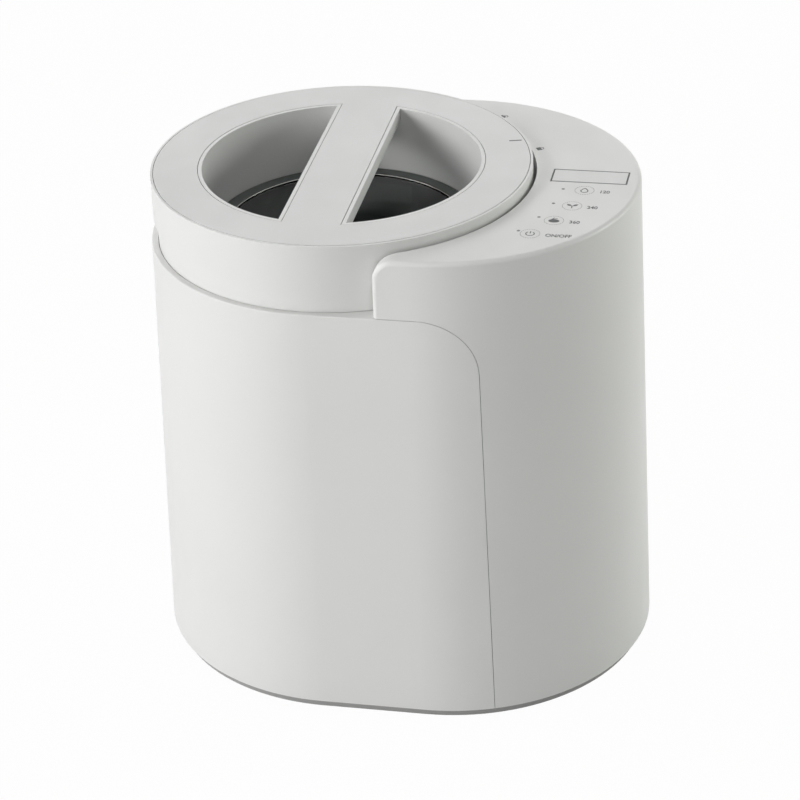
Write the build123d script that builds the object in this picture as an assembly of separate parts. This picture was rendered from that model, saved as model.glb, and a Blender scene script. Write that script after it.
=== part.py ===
from build123d import *

import os
from math import atan2, cos, degrees, hypot, pi, radians, sin, tan

# Electric food waste composter for a worktop. A round lid with a bar handle closes a bucket at the left; a
# taller end at the right carries the control panel. Origin: centre of the footprint, at table level. +X runs
# from the lid to the control panel, -Y is the side that the user faces. Millimetres.

# ---------------------------------------------------------------- driving dimensions
# Outer form: two equal round ends joined by flats, wider at the foot than at the panel
END_SPACING = 70.6        # between the axes of the two round ends
PANEL_ROOM = 1.3          # shells outside the lid, level with the control panel
FLARE = 8.0               # shells wider by this at their lower edge, each way
PANEL_Z = 341.0           # top face of the control panel
SHELL_Z = 7.0             # lower edge of the shells
WALL = 3.0                # thickness of the shells
SEAM = 0.5                # gap between the collar and the lid
SHELL_SEAM = 0.3          # gap between the wrap shell and the tower shell
RIM_R = 3.0               # rounding of the tower shell's upper rim
LEDGE_RIM_R = 0.8         # rounding of the ledge's outer rim

# Ledge, collar and the raised wall round the lid
COLLAR_SHOW = 17.5        # collar between the ledge and the lid
COLLAR_INSET = 2.4        # collar inside the lid's wall
COLLAR_WALL = 3.6
COLLAR_FIT = 0.4          # between the collar and what surrounds it
LID_GAP = 2.5             # between the lid and the raised wall
SWOOP_X = 10.0            # where the raised wall ends, front and back
SWOOP_R = 14.0            # rounding of its upper corner
SEAM_OUT = 47.0           # seam between the shells, beyond the axis of the tower's end, at its lower edge
SEAM_LEAN = 7.1           # the seam nearer the lid by this at the ledge
SEAM_CORNER_R = 40.0      # rounding where the seam turns into the ledge

# Lid
LID_RISE = 7.0            # top of the lid above the control panel
LID_H = 29.5              # height of the lid's side wall
LID_OVERHANG = 27.0       # lid's wall outside the bucket's inside
PLATE_T = 3.0             # lid plate
PLATE_EDGE = 2.0          # lid's wall outside the lid plate
PLATE_HOLE_INSET = 4.3    # plate's hole inside the bucket's inside
BAR_W = 38.4              # width of the bar's inlay
PLATE_GAP = 0.35          # round the lid plate
LIP_W = 2.5               # lip of the lid body inside the hole and along the bar
LIP_DROP = 0.2            # lips lie this far below the plate
DECK_T = 2.5              # lid body under the plate
BEAM_DEPTH = 9.8          # lid body's beam, from the lips down
BEAM_EDGE_R = 1.4         # rounding of the beam's lower edges
BOWL_DEPTH = 46.0         # from the lid's top to the floor of the bowl
BOWL_DRAFT = 2.85         # bowl narrower by this at its floor, each way
BOWL_WALL = 2.5
LID_SKIRT_T = 3.2         # lid's side wall
GLASS_LAP = 1.0           # pane under the bowl's wall
GLASS_T = 3.4
BEZEL_W = 8.4             # width of the ring round the window
BEZEL_T = 1.4
SEAT_T = 2.6              # liner below the glass
LINER_T = 2.6             # liner elsewhere
SEAL_SHIFT = 0.5          # seal nearer the bucket's inside than the middle of the rim
SEAL_W = 5.5
SEAL_H = 5.7
SOFT_FIT = 0.3            # between the seal and what it turns against
LID_SCREWS = 6
LID_SCREW_R = 1.5
LID_SCREW_LEN = 14.0
MAGNET_R = 3.6
MAGNET_T = 3.0
LOCK_ANGLE = 23.0         # where the lid's mark points when it is locked

# Bucket and chamber
BUCKET_R = 100.0          # inside of the bucket
BUCKET_WALL = 1.5
BUCKET_FLOOR_Z = 128.0    # underside of the bucket
BUCKET_FLOOR_T = 2.0
BUCKET_CORNER_R = 12.0
RIM_DROP = 9.7            # top of the bucket's rim below the floor of the bowl
BUCKET_RIM_T = 2.0
BUCKET_RIM_W = 7.5
VENTS = 20                # exhaust slots below the rim, less those that the grips take
VENT_W = 8.0
VENT_H = 5.0
VENT_DROP = 16.3          # lower edge of a vent slot below the rim
GRIP_W = 62.0             # finger slots in the bucket's wall, front and back
GRIP_H = 22.0
GRIP_DROP = 26.3          # lower edge of a grip below the rim
GRIP_FRAME = 3.5
CHAMBER_FIT = 2.0         # between the bucket and the chamber
CHAMBER_T = 1.2
CHAMBER_Z = 114.0         # underside of the chamber
CHAMBER_FLANGE_W = 14.0
CHAMBER_FLANGE_T = 1.5
RIM_CLEAR = 0.3           # below the bucket's rim, when it is down
SHELF_T = 2.5             # collar's inner shelf
JACKET_T = 11.0           # insulation round the chamber
JACKET_FIT = 0.3
HEATER_INSET = 5.0        # heater plate inside the bucket's inside
HEATER_HOLE_R = 22.0
HEATER_T = 6.0
ELEMENT_R = 70.0          # ring of the heating element
ELEMENT_TUBE_R = 3.3
THERMOSTAT_R = 9.0
THERMOSTAT_T = 5.0
PAD_T = 6.5               # insulation disc under the heater

# Agitator and its drive dog
SHAFT_R = 6.0
SHAFT_TOP_Z = 214.0
DOG_R = 14.0
DOG_H = 11.0
DOG_GAP = 1.0             # between the dog and the chamber's floor, and the bucket's underside
HEX_R = 8.0               # drive hexagon, across corners, halved
HEX_FIT = 0.35
HEX_H = 8.0
RUN_FIT = 0.05            # shafts in their bearings
BUSH_R = 9.5
BUSH_FLANGE_R = 16.0
BUSH_FLANGE_T = 2.0
ARM_CLEAR = 4.0           # between the agitator's arms and the bucket
ARM_W = 13.0
ARM_T = 4.0
ARM_TILT = 28.0
HUB_R = 11.0
ARM_HEIGHTS = (140.0, 166.0, 192.0)
ARM_ANGLES = (0.0, 120.0, 240.0)
NUT_R = 9.0
NUT_H = 7.0

# Deck and gearbox under the chamber
DECK_PLATE_T = 3.0
DECK_MARGIN = 2.0         # deck outside the insulation jacket
LEG_R = 7.0
LEG_INSET = 10.0          # middle of a leg inside the deck's edge
LEGS = 4
BASE_T = 7.0              # base plate
PLINTH_INSET = 3.5        # base plate inside the shells' lower edge
FOOT_LIFT = 1.0           # feet below the base plate
FOOT_PAD_R = 10.0
FOOT_SINK = 2.5
FOOT_X = 105.0
FOOT_Y = 72.0
GEAR_MODULE_1 = 1.5       # motor pinion and the idler's large gear
GEAR_MODULE_2 = 2.0       # idler's small gear and the output gear
MOTOR_TEETH = 12
IDLER_TEETH = 48
IDLER_PINION_TEETH = 16
OUTPUT_TEETH = 56
MOTOR_BEARING = -40.0     # direction of the motor seen from the idler
GEAR_T = 10.0
OUTPUT_GEAR_T = 12.0
GEAR_GAP = 4.0            # between the two stages
BACKLASH = 0.45
CASE_WALL = 3.0
CASE_CLEAR = 3.0          # between gears and the case
CASE_Z = 46.0             # underside of the gearbox base
CASE_H = 41.0
SPACER_R = 6.0
SPACER_H = 8.5            # between the gearbox and the deck
BEARING_R = 13.0
BEARING_H = 7.0
DRIVE_SHAFT_R = 7.0
AXLE_R = 4.0
MOTOR_R = 25.0
MOTOR_H = 36.0
MOTOR_SHAFT_R = 3.0
MOTOR_SHAFT_LEN = 12.0

# Control panel
PANEL_T = 3.0
DISPLAY_PLACE = (32.2, 10.3)      # places on the panel start where the raised wall reaches furthest right
DISPLAY_L = 50.0
DISPLAY_W = 18.75
DISPLAY_T = 1.6
DISPLAY_GAP = 0.35
DISPLAY_REBATE = 1.6      # step that carries the display window
KEY_PLACES = ((5.6, -78.0), (17.9, -57.4), (26.4, -34.8), (31.2, -10.8))
KEY_PAD_R = 6.0
LIGHT_R = 1.1
LIGHT_OUT = 17.5          # lights outside the raised wall, on a circle about the lid's axis
LIGHT_ANGLES = (-29.8, -20.9, -12.5, -3.9)
LIGHT_FIT = 0.05
BOARD_T = 1.6
BOARD_DROP = 15.0         # top of the control board below the panel's top face
BOARD_INSET = 9.0         # from the outside of the shells
BOARD_CLEAR = 5.0         # from the raised wall's inner ring
BOARD_Y = (-102.0, 44.0)
BOARD_START = -23.2
BOARD_POSTS = ((-11.2, -94.0), (50.8, -33.0), (12.8, 34.0), (9.8, -25.0))
BOARD_POST_R = 3.0
SWITCH_SIZE = (6.0, 16.0, 9.0)
SWITCH_RISE = 1.5         # above the lid's lower edge

# Blower, ducts and filter in the tower
BLOWER_OUT = 37.3         # blower's axis outside the insulation jacket
BLOWER_Y = -32.0
BLOWER_R = 33.0
BLOWER_DROP = 125.0       # underside of the blower below the control panel
BLOWER_H = 26.0
BLOWER_WALL = 2.0
BLOWER_INLET_R = 11.0
WHEEL_R = 27.0
WHEEL_EYE_R = 17.0
WHEEL_H = 13.0
WHEEL_BLADES = 20
FAN_MOTOR_R = 12.0
FAN_MOTOR_H = 6.0
FAN_PIN_R = 1.5
DUCT_WALL = 1.5
DUCT_RISE = 20.0          # exhaust duct's middle above the blower
DUCT_BEND_R = 17.0
OUTLET_W = 20.0           # square duct from the blower to the filter
OUTLET_SHIFT = 2.0        # blower's outlet beyond its axis
OUTLET_Y = 24.0           # far side of the blower's outlet
SHELF_PLATE_T = 3.0
SHELF_CLEAR = 3.0         # between the shelf and the jacket
POST_R = 5.0
SHELF_POSTS = ((-68.6, -95.0), (-12.6, -16.0), (-85.6, 98.0))      # from the tower's far end
BAY_SPREAD = (25.5, 27.5) # sides of the filter bay from the blower's axis
BAY_Y = 6.5               # inner end of the filter bay
BAY_Z = (47.5, 172.0)
BAY_WALL = 2.0
BAY_LEG_W = 8.0
DRAWER_FIT = 0.5
DRAWER_WALL = 1.8
DRAWER_FRONT_MARGIN = 3.5 # drawer's front beyond its tray
NOTCH_W = 36.0            # finger notch at the top of the drawer's front
NOTCH_H = 14.0
SLOT_W = 3.0              # air slots
SLOT_PITCH = 7.0
SLOT_H = 54.0
DRAWER_SLOTS = 6
CARTRIDGE_TOP = 10.0      # free height above the cartridge
CARTRIDGE_FIT = 0.3

# Power supply and mains inlet
POWER_GAP = 11.828        # between the drive motor and the rib that carries the power board
POWER_Y = (-84.0, -10.0)
POWER_Z = (20.0, 128.0)
RIB_T = 4.0
RIB_H = 34.0
INLET_X = 12.0
INLET_Z = 34.0
INLET_W = 28.0
INLET_H = 20.0
INLET_DEPTH = 24.0
INLET_FIT = 0.3
SOCKET_WALL = 2.0
SOCKET_DEPTH = 16.0
PIN_PITCH = 7.0
PIN_SIZE = (2.0, 4.0, 12.0)
POWER_BLOCKS = ((22.0, (28.0, 58.0), (10.0, 38.0)), (14.0, (8.0, 12.0), (50.0, 96.0)),
                (9.0, (34.0, 66.0), (84.0, 98.0)))     # depth, and span along each edge of the board
POWER_DRUMS = ((24.0, 56.0, 7.0, 18.0), (42.0, 56.0, 7.0, 18.0), (60.0, 56.0, 5.0, 14.0),
               (18.0, 20.0, 6.0, 16.0))                # place on the board, radius and length
BACK_SLOTS = 9            # cooling slots in the back of the wrap shell
BACK_SLOT_X = -62.0
BACK_SLOT_Z = 60.0

# Screws from below into the shells
BASE_SCREW_R = 1.8
BASE_SCREW_HEAD_R = 3.4
BASE_SCREW_HEAD_T = 2.4
BASE_SCREW_LEN = 20.0
BOSS_R = 6.5
BOSS_H = 26.0
WRAP_SCREW_ANGLES = (125.0, 180.0, 235.0)   # about the lid's axis
TOWER_SCREW_ANGLES = (-48.0, 10.0, 62.0)    # about the tower's axis

# ---------------------------------------------------------------- sizes that follow
LID_X = -END_SPACING / 2
TOWER_X = END_SPACING / 2
LID_R = BUCKET_R + LID_OVERHANG             # outside of the lid
PLATE_R = LID_R - PLATE_EDGE                # outer edge of the lid plate
PLATE_HOLE_R = BUCKET_R - PLATE_HOLE_INSET  # its hole, which the bar crosses
COLLAR_R = LID_R - COLLAR_INSET
PANEL_R = LID_R + PANEL_ROOM                # radius of the shells' ends, level with the control panel
FOOT_R = PANEL_R + FLARE                    # the same, at their lower edge
TOWER_END = TOWER_X + PANEL_R               # the panel's far end
SEAM_X_FOOT = TOWER_X + SEAM_OUT
SEAM_X_LEDGE = SEAM_X_FOOT - SEAM_LEAN
LID_TOP_Z = PANEL_Z + LID_RISE
LID_SEAM_Z = LID_TOP_Z - LID_H              # lower edge of the lid
LEDGE_Z = LID_SEAM_Z - SEAM - COLLAR_SHOW   # top face of the wrap shell
BOWL_Z = LID_TOP_Z - BOWL_DEPTH
FAR = 2 * (FOOT_R + END_SPACING)            # beyond the part in every direction
BASE_Z = FOOT_LIFT
BASE_TOP = BASE_Z + BASE_T
COLLAR_TOP = LID_SEAM_Z - SEAM
COLLAR_IN_R = COLLAR_R - COLLAR_WALL
LID_HOLE_R = LID_R + LID_GAP
RING_R = LID_HOLE_R + WALL                  # outside of the raised wall's inner ring
RING_X = LID_X + RING_R                     # where places on the panel start
LIGHT_CIRCLE_R = RING_R + LIGHT_OUT
DISPLAY_X = RING_X + DISPLAY_PLACE[0]
DISPLAY_Y = DISPLAY_PLACE[1]
BOARD_X = RING_X + BOARD_START
PLATE_Z = LID_TOP_Z - PLATE_T
LIP_Z = LID_TOP_Z - LIP_DROP
LIP_R = PLATE_HOLE_R - PLATE_GAP            # outside of the lip round the hole
BOWL_R = LIP_R - LIP_W                      # inside of the bowl at its mouth
BOWL_FOOT_R = BOWL_R - BOWL_DRAFT
GLASS_R = BOWL_FOOT_R + GLASS_LAP
BEAM_W = BAR_W + 2 * (PLATE_GAP + LIP_W)
BEAM_Z = LIP_Z - BEAM_DEPTH
GLASS_TOP = BOWL_Z - 1.0
GLASS_Z = GLASS_TOP - GLASS_T
SEAT_Z = GLASS_Z - SEAT_T
BUCKET_RIM_Z = BOWL_Z - RIM_DROP
VENT_Z = BUCKET_RIM_Z - VENT_DROP
GRIP_Z = BUCKET_RIM_Z - GRIP_DROP
SEAL_R = BUCKET_R + BUCKET_WALL + BUCKET_RIM_W / 2 - SEAL_SHIFT     # middle of the lid seal
SEAL_Z = BUCKET_RIM_Z + SOFT_FIT
GROOVE_Z = SEAL_Z + SEAL_H + SOFT_FIT
CHAMBER_R = BUCKET_R + BUCKET_WALL + CHAMBER_FIT
CHAMBER_TOP = BUCKET_RIM_Z - BUCKET_RIM_T - RIM_CLEAR
JACKET_R = CHAMBER_R + CHAMBER_T + JACKET_FIT
JACKET_OUT_R = JACKET_R + JACKET_T
HEATER_R = BUCKET_R - HEATER_INSET
PAD_R = BUCKET_R
ARM_R = BUCKET_R - ARM_CLEAR
DECK_R = JACKET_OUT_R + DECK_MARGIN
LEG_CIRCLE_R = DECK_R - LEG_INSET
HEATER_Z = CHAMBER_Z - HEATER_T
PAD_Z = HEATER_Z - PAD_T
DECK_Z = PAD_Z - DECK_PLATE_T
DOG_Z = BUCKET_FLOOR_Z - DOG_GAP - DOG_H
CASE_TOP = CASE_Z + CASE_H
STAGE_1_Z = CASE_Z + CASE_WALL + 2.0
STAGE_2_Z = STAGE_1_Z + GEAR_T + GEAR_GAP
MOTOR_PITCH_R = GEAR_MODULE_1 * MOTOR_TEETH / 2
IDLER_PITCH_R = GEAR_MODULE_1 * IDLER_TEETH / 2
PINION_PITCH_R = GEAR_MODULE_2 * IDLER_PINION_TEETH / 2
OUTPUT_PITCH_R = GEAR_MODULE_2 * OUTPUT_TEETH / 2
IDLER_X = LID_X + OUTPUT_PITCH_R + PINION_PITCH_R
MOTOR_X = IDLER_X + (IDLER_PITCH_R + MOTOR_PITCH_R) * cos(radians(MOTOR_BEARING))
MOTOR_Y = (IDLER_PITCH_R + MOTOR_PITCH_R) * sin(radians(MOTOR_BEARING))
POWER_X = MOTOR_X + MOTOR_R + POWER_GAP + RIB_T
BOARD_Z = PANEL_Z - BOARD_DROP - BOARD_T
SWITCH_Z = LID_SEAM_Z + SWITCH_RISE
BLOWER_X = LID_X + JACKET_OUT_R + BLOWER_OUT
BLOWER_Z = PANEL_Z - BLOWER_DROP
OUTLET_X = BLOWER_X + OUTLET_SHIFT
BAY_X = (BLOWER_X - BAY_SPREAD[0], BLOWER_X + BAY_SPREAD[1])
DUCT_Z = BLOWER_Z + BLOWER_H + DUCT_RISE
DUCT_ANGLE = degrees(atan2(BLOWER_Y, BLOWER_X - LID_X))
SHELF_PLATE_Z = BLOWER_Z - SHELF_PLATE_T
DRAWER_X = (BAY_X[0] + BAY_WALL + DRAWER_FIT, BAY_X[1] - BAY_WALL - DRAWER_FIT)
DRAWER_Y = BAY_Y + BAY_WALL + DRAWER_FIT
DRAWER_Z = (BAY_Z[0] + BAY_WALL + DRAWER_FIT, BAY_Z[1] - BAY_WALL - DRAWER_FIT)
UP = (Align.CENTER, Align.CENTER, Align.MIN)


# ---------------------------------------------------------------- shapes used by several pieces
def end_radius(z):
    """Radius of the outer form's round ends at a height."""
    return FOOT_R + (PANEL_R - FOOT_R) * (z - SHELL_Z) / (PANEL_Z - SHELL_Z)


def drum(r, z0, z1, x=0.0, y=0.0):
    """Upright cylinder between two heights."""
    return Pos(x, y, z0) * Cylinder(r, z1 - z0, align=UP)


def tube(r_out, r_in, z0, z1, x=0.0, y=0.0):
    """Upright ring between two heights."""
    return drum(r_out, z0, z1, x, y) - drum(r_in, z0 - 1, z1 + 1, x, y)


def block(x_span, y_span, z_span):
    """Box between two places along each axis."""
    spans = (x_span, y_span, z_span)
    middle = [(low + high) / 2 for low, high in spans]
    return Pos(*middle) * Box(*(high - low for low, high in spans))


def spun(points, x=0.0):
    """Ring turned about an upright axis from a closed outline of (radius, height) points."""
    return Pos(x, 0, 0) * revolve(make_face(Plane.XZ * Polyline(*points, close=True)), Axis.Z)


def across(outline):
    """An outline drawn in the side view, carried through the whole part from front to back."""
    return extrude(Plane.XZ * outline, FAR, both=True)


def side_rect(x0, x1, z0, z1):
    """Rectangle in the side view."""
    return Pos((x0 + x1) / 2, (z0 + z1) / 2) * Rectangle(x1 - x0, z1 - z0)


def tapered_form(z0, z1, inset=0.0):
    """The outer form between two heights, inset by a wall."""
    r0, r1 = end_radius(z0) - inset, end_radius(z1) - inset
    middle_plane = Plane(origin=(LID_X, 0, 0), x_dir=(0, 1, 0), z_dir=(1, 0, 0))
    middle = make_face(middle_plane * Polyline((-r0, z0), (r0, z0), (r1, z1), (-r1, z1), close=True))
    ends = [Pos(x, 0, z0) * Cone(r0, r1, z1 - z0, align=UP) for x in (LID_X, TOWER_X)]
    return ends[0] + extrude(middle, END_SPACING) + ends[1]


def on_circle(r, angle, x=LID_X):
    """A place on a circle about an upright axis."""
    return x + r * cos(radians(angle)), r * sin(radians(angle))


def spur_gear(teeth, module, thickness, z, x, y, phase, bore_r=0.0):
    """Straight-toothed gear with one tooth centred on the direction given as phase."""
    pitch_r = module * teeth / 2
    root_r, tip_r = pitch_r - 1.25 * module, pitch_r + 0.9 * module
    half_pitch_w = pi * module / 4 - BACKLASH / 2
    slope = tan(radians(20))
    root_half = (half_pitch_w + (pitch_r - root_r) * slope) / root_r
    tip_half = (half_pitch_w - (tip_r - pitch_r) * slope) / tip_r
    points = []
    for tooth in range(teeth):
        middle = radians(phase) + 2 * pi * tooth / teeth
        for r, turn in ((root_r, -root_half), (tip_r, -tip_half), (tip_r, tip_half), (root_r, root_half)):
            points.append((r * cos(middle + turn), r * sin(middle + turn)))
    gear = Pos(x, y, z) * extrude(make_face(Polyline(*points, close=True)), thickness)
    return gear - drum(bore_r, z - 1, z + thickness + 1, x, y) if bore_r else gear


# ---------------------------------------------------------------- outer shells and base
def seam_x(z):
    """Where the seam between the shells lies in the side view."""
    return SEAM_X_FOOT + (SEAM_X_LEDGE - SEAM_X_FOOT) * (z - SHELL_Z) / (LEDGE_Z - SHELL_Z)


def wrap_outline():
    """Side view of what the wrap shell covers: up to the ledge, and left of the seam."""
    low = -BASE_TOP
    corners = ((-FAR, low), (seam_x(low), low), (seam_x(LEDGE_Z), LEDGE_Z), (-FAR, LEDGE_Z))
    outline = make_face(Polyline(*corners, close=True))
    return fillet(outline.vertices().sort_by(lambda v: v.X + v.Y)[-1], SEAM_CORNER_R)


def tower_outline():
    """Side view of the tower shell: the right end, and the raised wall that runs on above the ledge."""
    outline = side_rect(SWOOP_X, FAR, SHELL_Z, PANEL_Z)
    outline = fillet(outline.vertices().sort_by(lambda v: v.Y - v.X)[-1], SWOOP_R)
    return outline - offset(wrap_outline(), SHELL_SEAM)


def tower_hollow_outline():
    """Side view of the space inside the tower shell."""
    outline = side_rect(SWOOP_X + WALL, FAR, SHELL_Z - WALL, PANEL_Z - PANEL_T)
    return fillet(outline.vertices().sort_by(lambda v: v.Y - v.X)[-1], SWOOP_R - WALL)


def boss_place(angle, x):
    """Screw boss against the inside of a shell's wall."""
    return on_circle(end_radius(BASE_TOP + BOSS_H) - WALL - 0.8 * BOSS_R, angle, x)


WRAP_BOSSES = [boss_place(angle, LID_X) for angle in WRAP_SCREW_ANGLES]
TOWER_BOSSES = [boss_place(angle, TOWER_X) for angle in TOWER_SCREW_ANGLES]


def screw_bosses(places):
    """Bosses that take the screws from below."""
    top = BASE_TOP + BOSS_H
    return [tube(BOSS_R, BASE_SCREW_R + RUN_FIT, BASE_TOP, top, x, y) for x, y in places]


def air_slots(count, x0, z0, y_span):
    """Row of upright slots through a wall at the back."""
    return [block((x0 + i * SLOT_PITCH, x0 + i * SLOT_PITCH + SLOT_W), y_span, (z0, z0 + SLOT_H))
            for i in range(count)]


def wrap_shell():
    """Shell round the front, the left end and the back, with the ledge as its top."""
    form = tapered_form(SHELL_Z, LEDGE_Z)
    rim = form.edges().filter_by(lambda e: abs(e.center().Z - LEDGE_Z) < 0.01)
    form = fillet(rim, LEDGE_RIM_R) & across(wrap_outline())
    form -= tapered_form(SHELL_Z - 1, LEDGE_Z - WALL, WALL)
    form -= drum(COLLAR_R + COLLAR_FIT, LEDGE_Z - 2 * WALL, LEDGE_Z + WALL, LID_X)
    hole_w, hole_h = INLET_W / 2 + INLET_FIT, INLET_H / 2 + INLET_FIT
    form -= block((INLET_X - hole_w, INLET_X + hole_w), (PANEL_R / 2, FAR),
                  (INLET_Z - hole_h, INLET_Z + hole_h))
    form -= air_slots(BACK_SLOTS, BACK_SLOT_X, BACK_SLOT_Z, (PANEL_R / 2, FAR))
    return form + screw_bosses(WRAP_BOSSES)


def drawer_opening(grow=0.0):
    """Block through the back of the tower that the drawer's front fills."""
    margin = DRAWER_FRONT_MARGIN + grow
    return block((DRAWER_X[0] - margin, DRAWER_X[1] + margin), (PANEL_R / 4, FAR),
                 (DRAWER_Z[0] - margin, DRAWER_Z[1] + margin))


def display_pocket(grow, z0, z1):
    """Block of the display window's outline, grown all round."""
    return block((DISPLAY_X - DISPLAY_L / 2 - grow, DISPLAY_X + DISPLAY_L / 2 + grow),
                 (DISPLAY_Y - DISPLAY_W / 2 - grow, DISPLAY_Y + DISPLAY_W / 2 + grow), (z0, z1))


def tower_shell():
    """Shell of the right end: control panel, raised wall round the lid, and the skirt below."""
    form = tapered_form(SHELL_Z, PANEL_Z + 2 * WALL) & across(tower_outline())
    rim = form.edges().filter_by(lambda e: on_upper_rim(e))
    form = fillet(rim, RIM_R)
    hollow = tapered_form(SHELL_Z - WALL, PANEL_Z, WALL) & across(tower_hollow_outline())
    hollow -= drum(RING_R, LEDGE_Z, FAR, LID_X)
    form -= hollow
    sill_z = LEDGE_Z + SHELL_SEAM
    sill = tube(RING_R, COLLAR_R + 2 * COLLAR_FIT, sill_z, sill_z + WALL, LID_X)
    form = form - drum(LID_HOLE_R, 0, FAR, LID_X) + (sill & block((3 * SWOOP_X, FAR), (-FAR, FAR), (0, FAR)))
    form -= display_pocket(DISPLAY_GAP, PANEL_Z - DISPLAY_T, FAR)
    form -= display_pocket(-DISPLAY_REBATE, PANEL_Z - 2 * PANEL_T, FAR)
    for angle in LIGHT_ANGLES:
        form -= drum(LIGHT_R + LIGHT_FIT, PANEL_Z - 2 * PANEL_T, FAR, *on_circle(LIGHT_CIRCLE_R, angle))
    form -= drawer_opening(DRAWER_FIT)
    form += [drum(BOARD_POST_R, BOARD_Z + BOARD_T, PANEL_Z - PANEL_T, RING_X + x, y) for x, y in BOARD_POSTS]
    return form + screw_bosses(TOWER_BOSSES)


def on_upper_rim(edge):
    """True for the outer rim of the tower's top and of the raised wall's rounded ends."""
    middle = edge @ 0.5
    near_outside = abs(middle.Y) > 1 and middle.Z > LEDGE_Z + 2 * SEAM
    level = abs(middle.Z - PANEL_Z) < 0.01 and middle.X > SWOOP_X + SWOOP_R + 0.1
    swoop_end = middle.X < SWOOP_X + SWOOP_R and middle.Z < PANEL_Z - 0.1
    return (near_outside and (level or swoop_end)) or (level and middle.X > TOWER_X)


def base_plate():
    """Plinth and floor: one dark plate, set in from the shells, that everything stands on."""
    outline = Rectangle(END_SPACING, 2 * (FOOT_R - PLINTH_INSET))
    outline += [Pos(x, 0) * Circle(FOOT_R - PLINTH_INSET) for x in (LID_X, TOWER_X)]
    plate = Pos(0, 0, BASE_Z) * extrude(outline, BASE_T)
    plate -= [drum(FOOT_PAD_R, 0, FOOT_LIFT + FOOT_SINK, x, y) for x, y in FOOT_PLACES]
    for x, y in WRAP_BOSSES + TOWER_BOSSES:
        plate -= drum(BASE_SCREW_R + RUN_FIT, 0, BASE_TOP + 1, x, y)
        plate -= drum(BASE_SCREW_HEAD_R + COLLAR_FIT, 0, BASE_Z + BASE_SCREW_HEAD_T + 1, x, y)
    return plate + block((POWER_X - RIB_T, POWER_X), POWER_Y, (BASE_TOP, BASE_TOP + RIB_H))


FOOT_PLACES = [(x * FOOT_X, y * FOOT_Y) for x in (-1, 1) for y in (-1, 1)]


def rubber_feet():
    """Four rubber pads in recesses of the base plate."""
    return Part() + [drum(FOOT_PAD_R, 0, FOOT_LIFT + FOOT_SINK, x, y) for x, y in FOOT_PLACES]


def base_screws():
    """Pan-head screws, from below through the base plate into the shells' bosses."""
    head_z = BASE_Z + 1
    screws = []
    for x, y in WRAP_BOSSES + TOWER_BOSSES:
        head_top = head_z + BASE_SCREW_HEAD_T
        shank = drum(BASE_SCREW_R, head_z, head_top + BASE_SCREW_LEN, x, y)
        screws.append(drum(BASE_SCREW_HEAD_R, head_z, head_top, x, y) + shank)
    return Part() + screws


def collar_ring():
    """White ring that the lid stands over; its shelf clamps the chamber, its flange bears the ledge."""
    flange_r = end_radius(LEDGE_Z) - WALL - COLLAR_FIT
    flange_top = LEDGE_Z - WALL
    return spun([(RIM_SHELF_R, CHAMBER_TOP), (COLLAR_R, CHAMBER_TOP), (COLLAR_R, flange_top - WALL),
                 (flange_r, flange_top - WALL), (flange_r, flange_top), (COLLAR_R, flange_top),
                 (COLLAR_R, COLLAR_TOP), (COLLAR_IN_R, COLLAR_TOP), (COLLAR_IN_R, CHAMBER_TOP + SHELF_T),
                 (RIM_SHELF_R, CHAMBER_TOP + SHELF_T)], LID_X)


RIM_SHELF_R = BUCKET_R + BUCKET_WALL + BUCKET_RIM_W + RUN_FIT + 1.5


# ---------------------------------------------------------------- lid
def lid_plate():
    """Flat inlay in the lid's top: a ring, and the bar that crosses its hole."""
    outline = Circle(PLATE_R) - Circle(PLATE_HOLE_R)
    outline += Rectangle(BAR_W, 2 * PLATE_HOLE_R + LIP_W)
    plate = Pos(LID_X, 0, PLATE_Z) * extrude(outline, PLATE_T)
    return chamfer(plate.edges().filter_by(lambda e: abs(e.center().Z - LID_TOP_Z) < 0.01), LIP_DROP)


def lid_body():
    """White body of the lid: side wall, deck under the inlay, bowl, and the beam of the handle."""
    skirt_in, lip_out = LID_R - LID_SKIRT_T, PLATE_R + PLATE_GAP
    deck_z = PLATE_Z - DECK_T
    wall = spun([(lip_out, LIP_Z), (LID_R - LIP_DROP, LIP_Z), (LID_R, LIP_Z - LIP_DROP), (LID_R, LID_SEAM_Z),
                 (skirt_in, LID_SEAM_Z), (skirt_in, deck_z), (BOWL_R + BOWL_WALL, deck_z),
                 (BOWL_FOOT_R + BOWL_WALL, LINER_TOP), (BOWL_FOOT_R, LINER_TOP), (BOWL_R, LIP_Z - LIP_W),
                 (BOWL_R, LIP_Z), (LIP_R, LIP_Z), (LIP_R, PLATE_Z), (lip_out, PLATE_Z)], LID_X)
    beam = block((LID_X - BEAM_W / 2, LID_X + BEAM_W / 2), (-LIP_R, LIP_R), (BEAM_Z, LIP_Z))
    beam = fillet(beam.edges().filter_by(Axis.Y).group_by(Axis.Z)[0], BEAM_EDGE_R)
    wall += beam & drum(BOWL_R + BOWL_WALL / 2, 0, FAR, LID_X)
    inlay_w = BAR_W / 2 + PLATE_GAP
    wall -= block((LID_X - inlay_w, LID_X + inlay_w), (-PLATE_HOLE_R, PLATE_HOLE_R), (PLATE_Z, FAR))
    for x, y in LID_SCREW_PLACES:
        wall += tube(BOSS_R, LID_SCREW_R + RUN_FIT, LINER_TOP, LINER_TOP + LID_SCREW_LEN, x, y)
    return wall - drum(BOWL_FOOT_R - 1, 0, BEAM_Z, LID_X)


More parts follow.
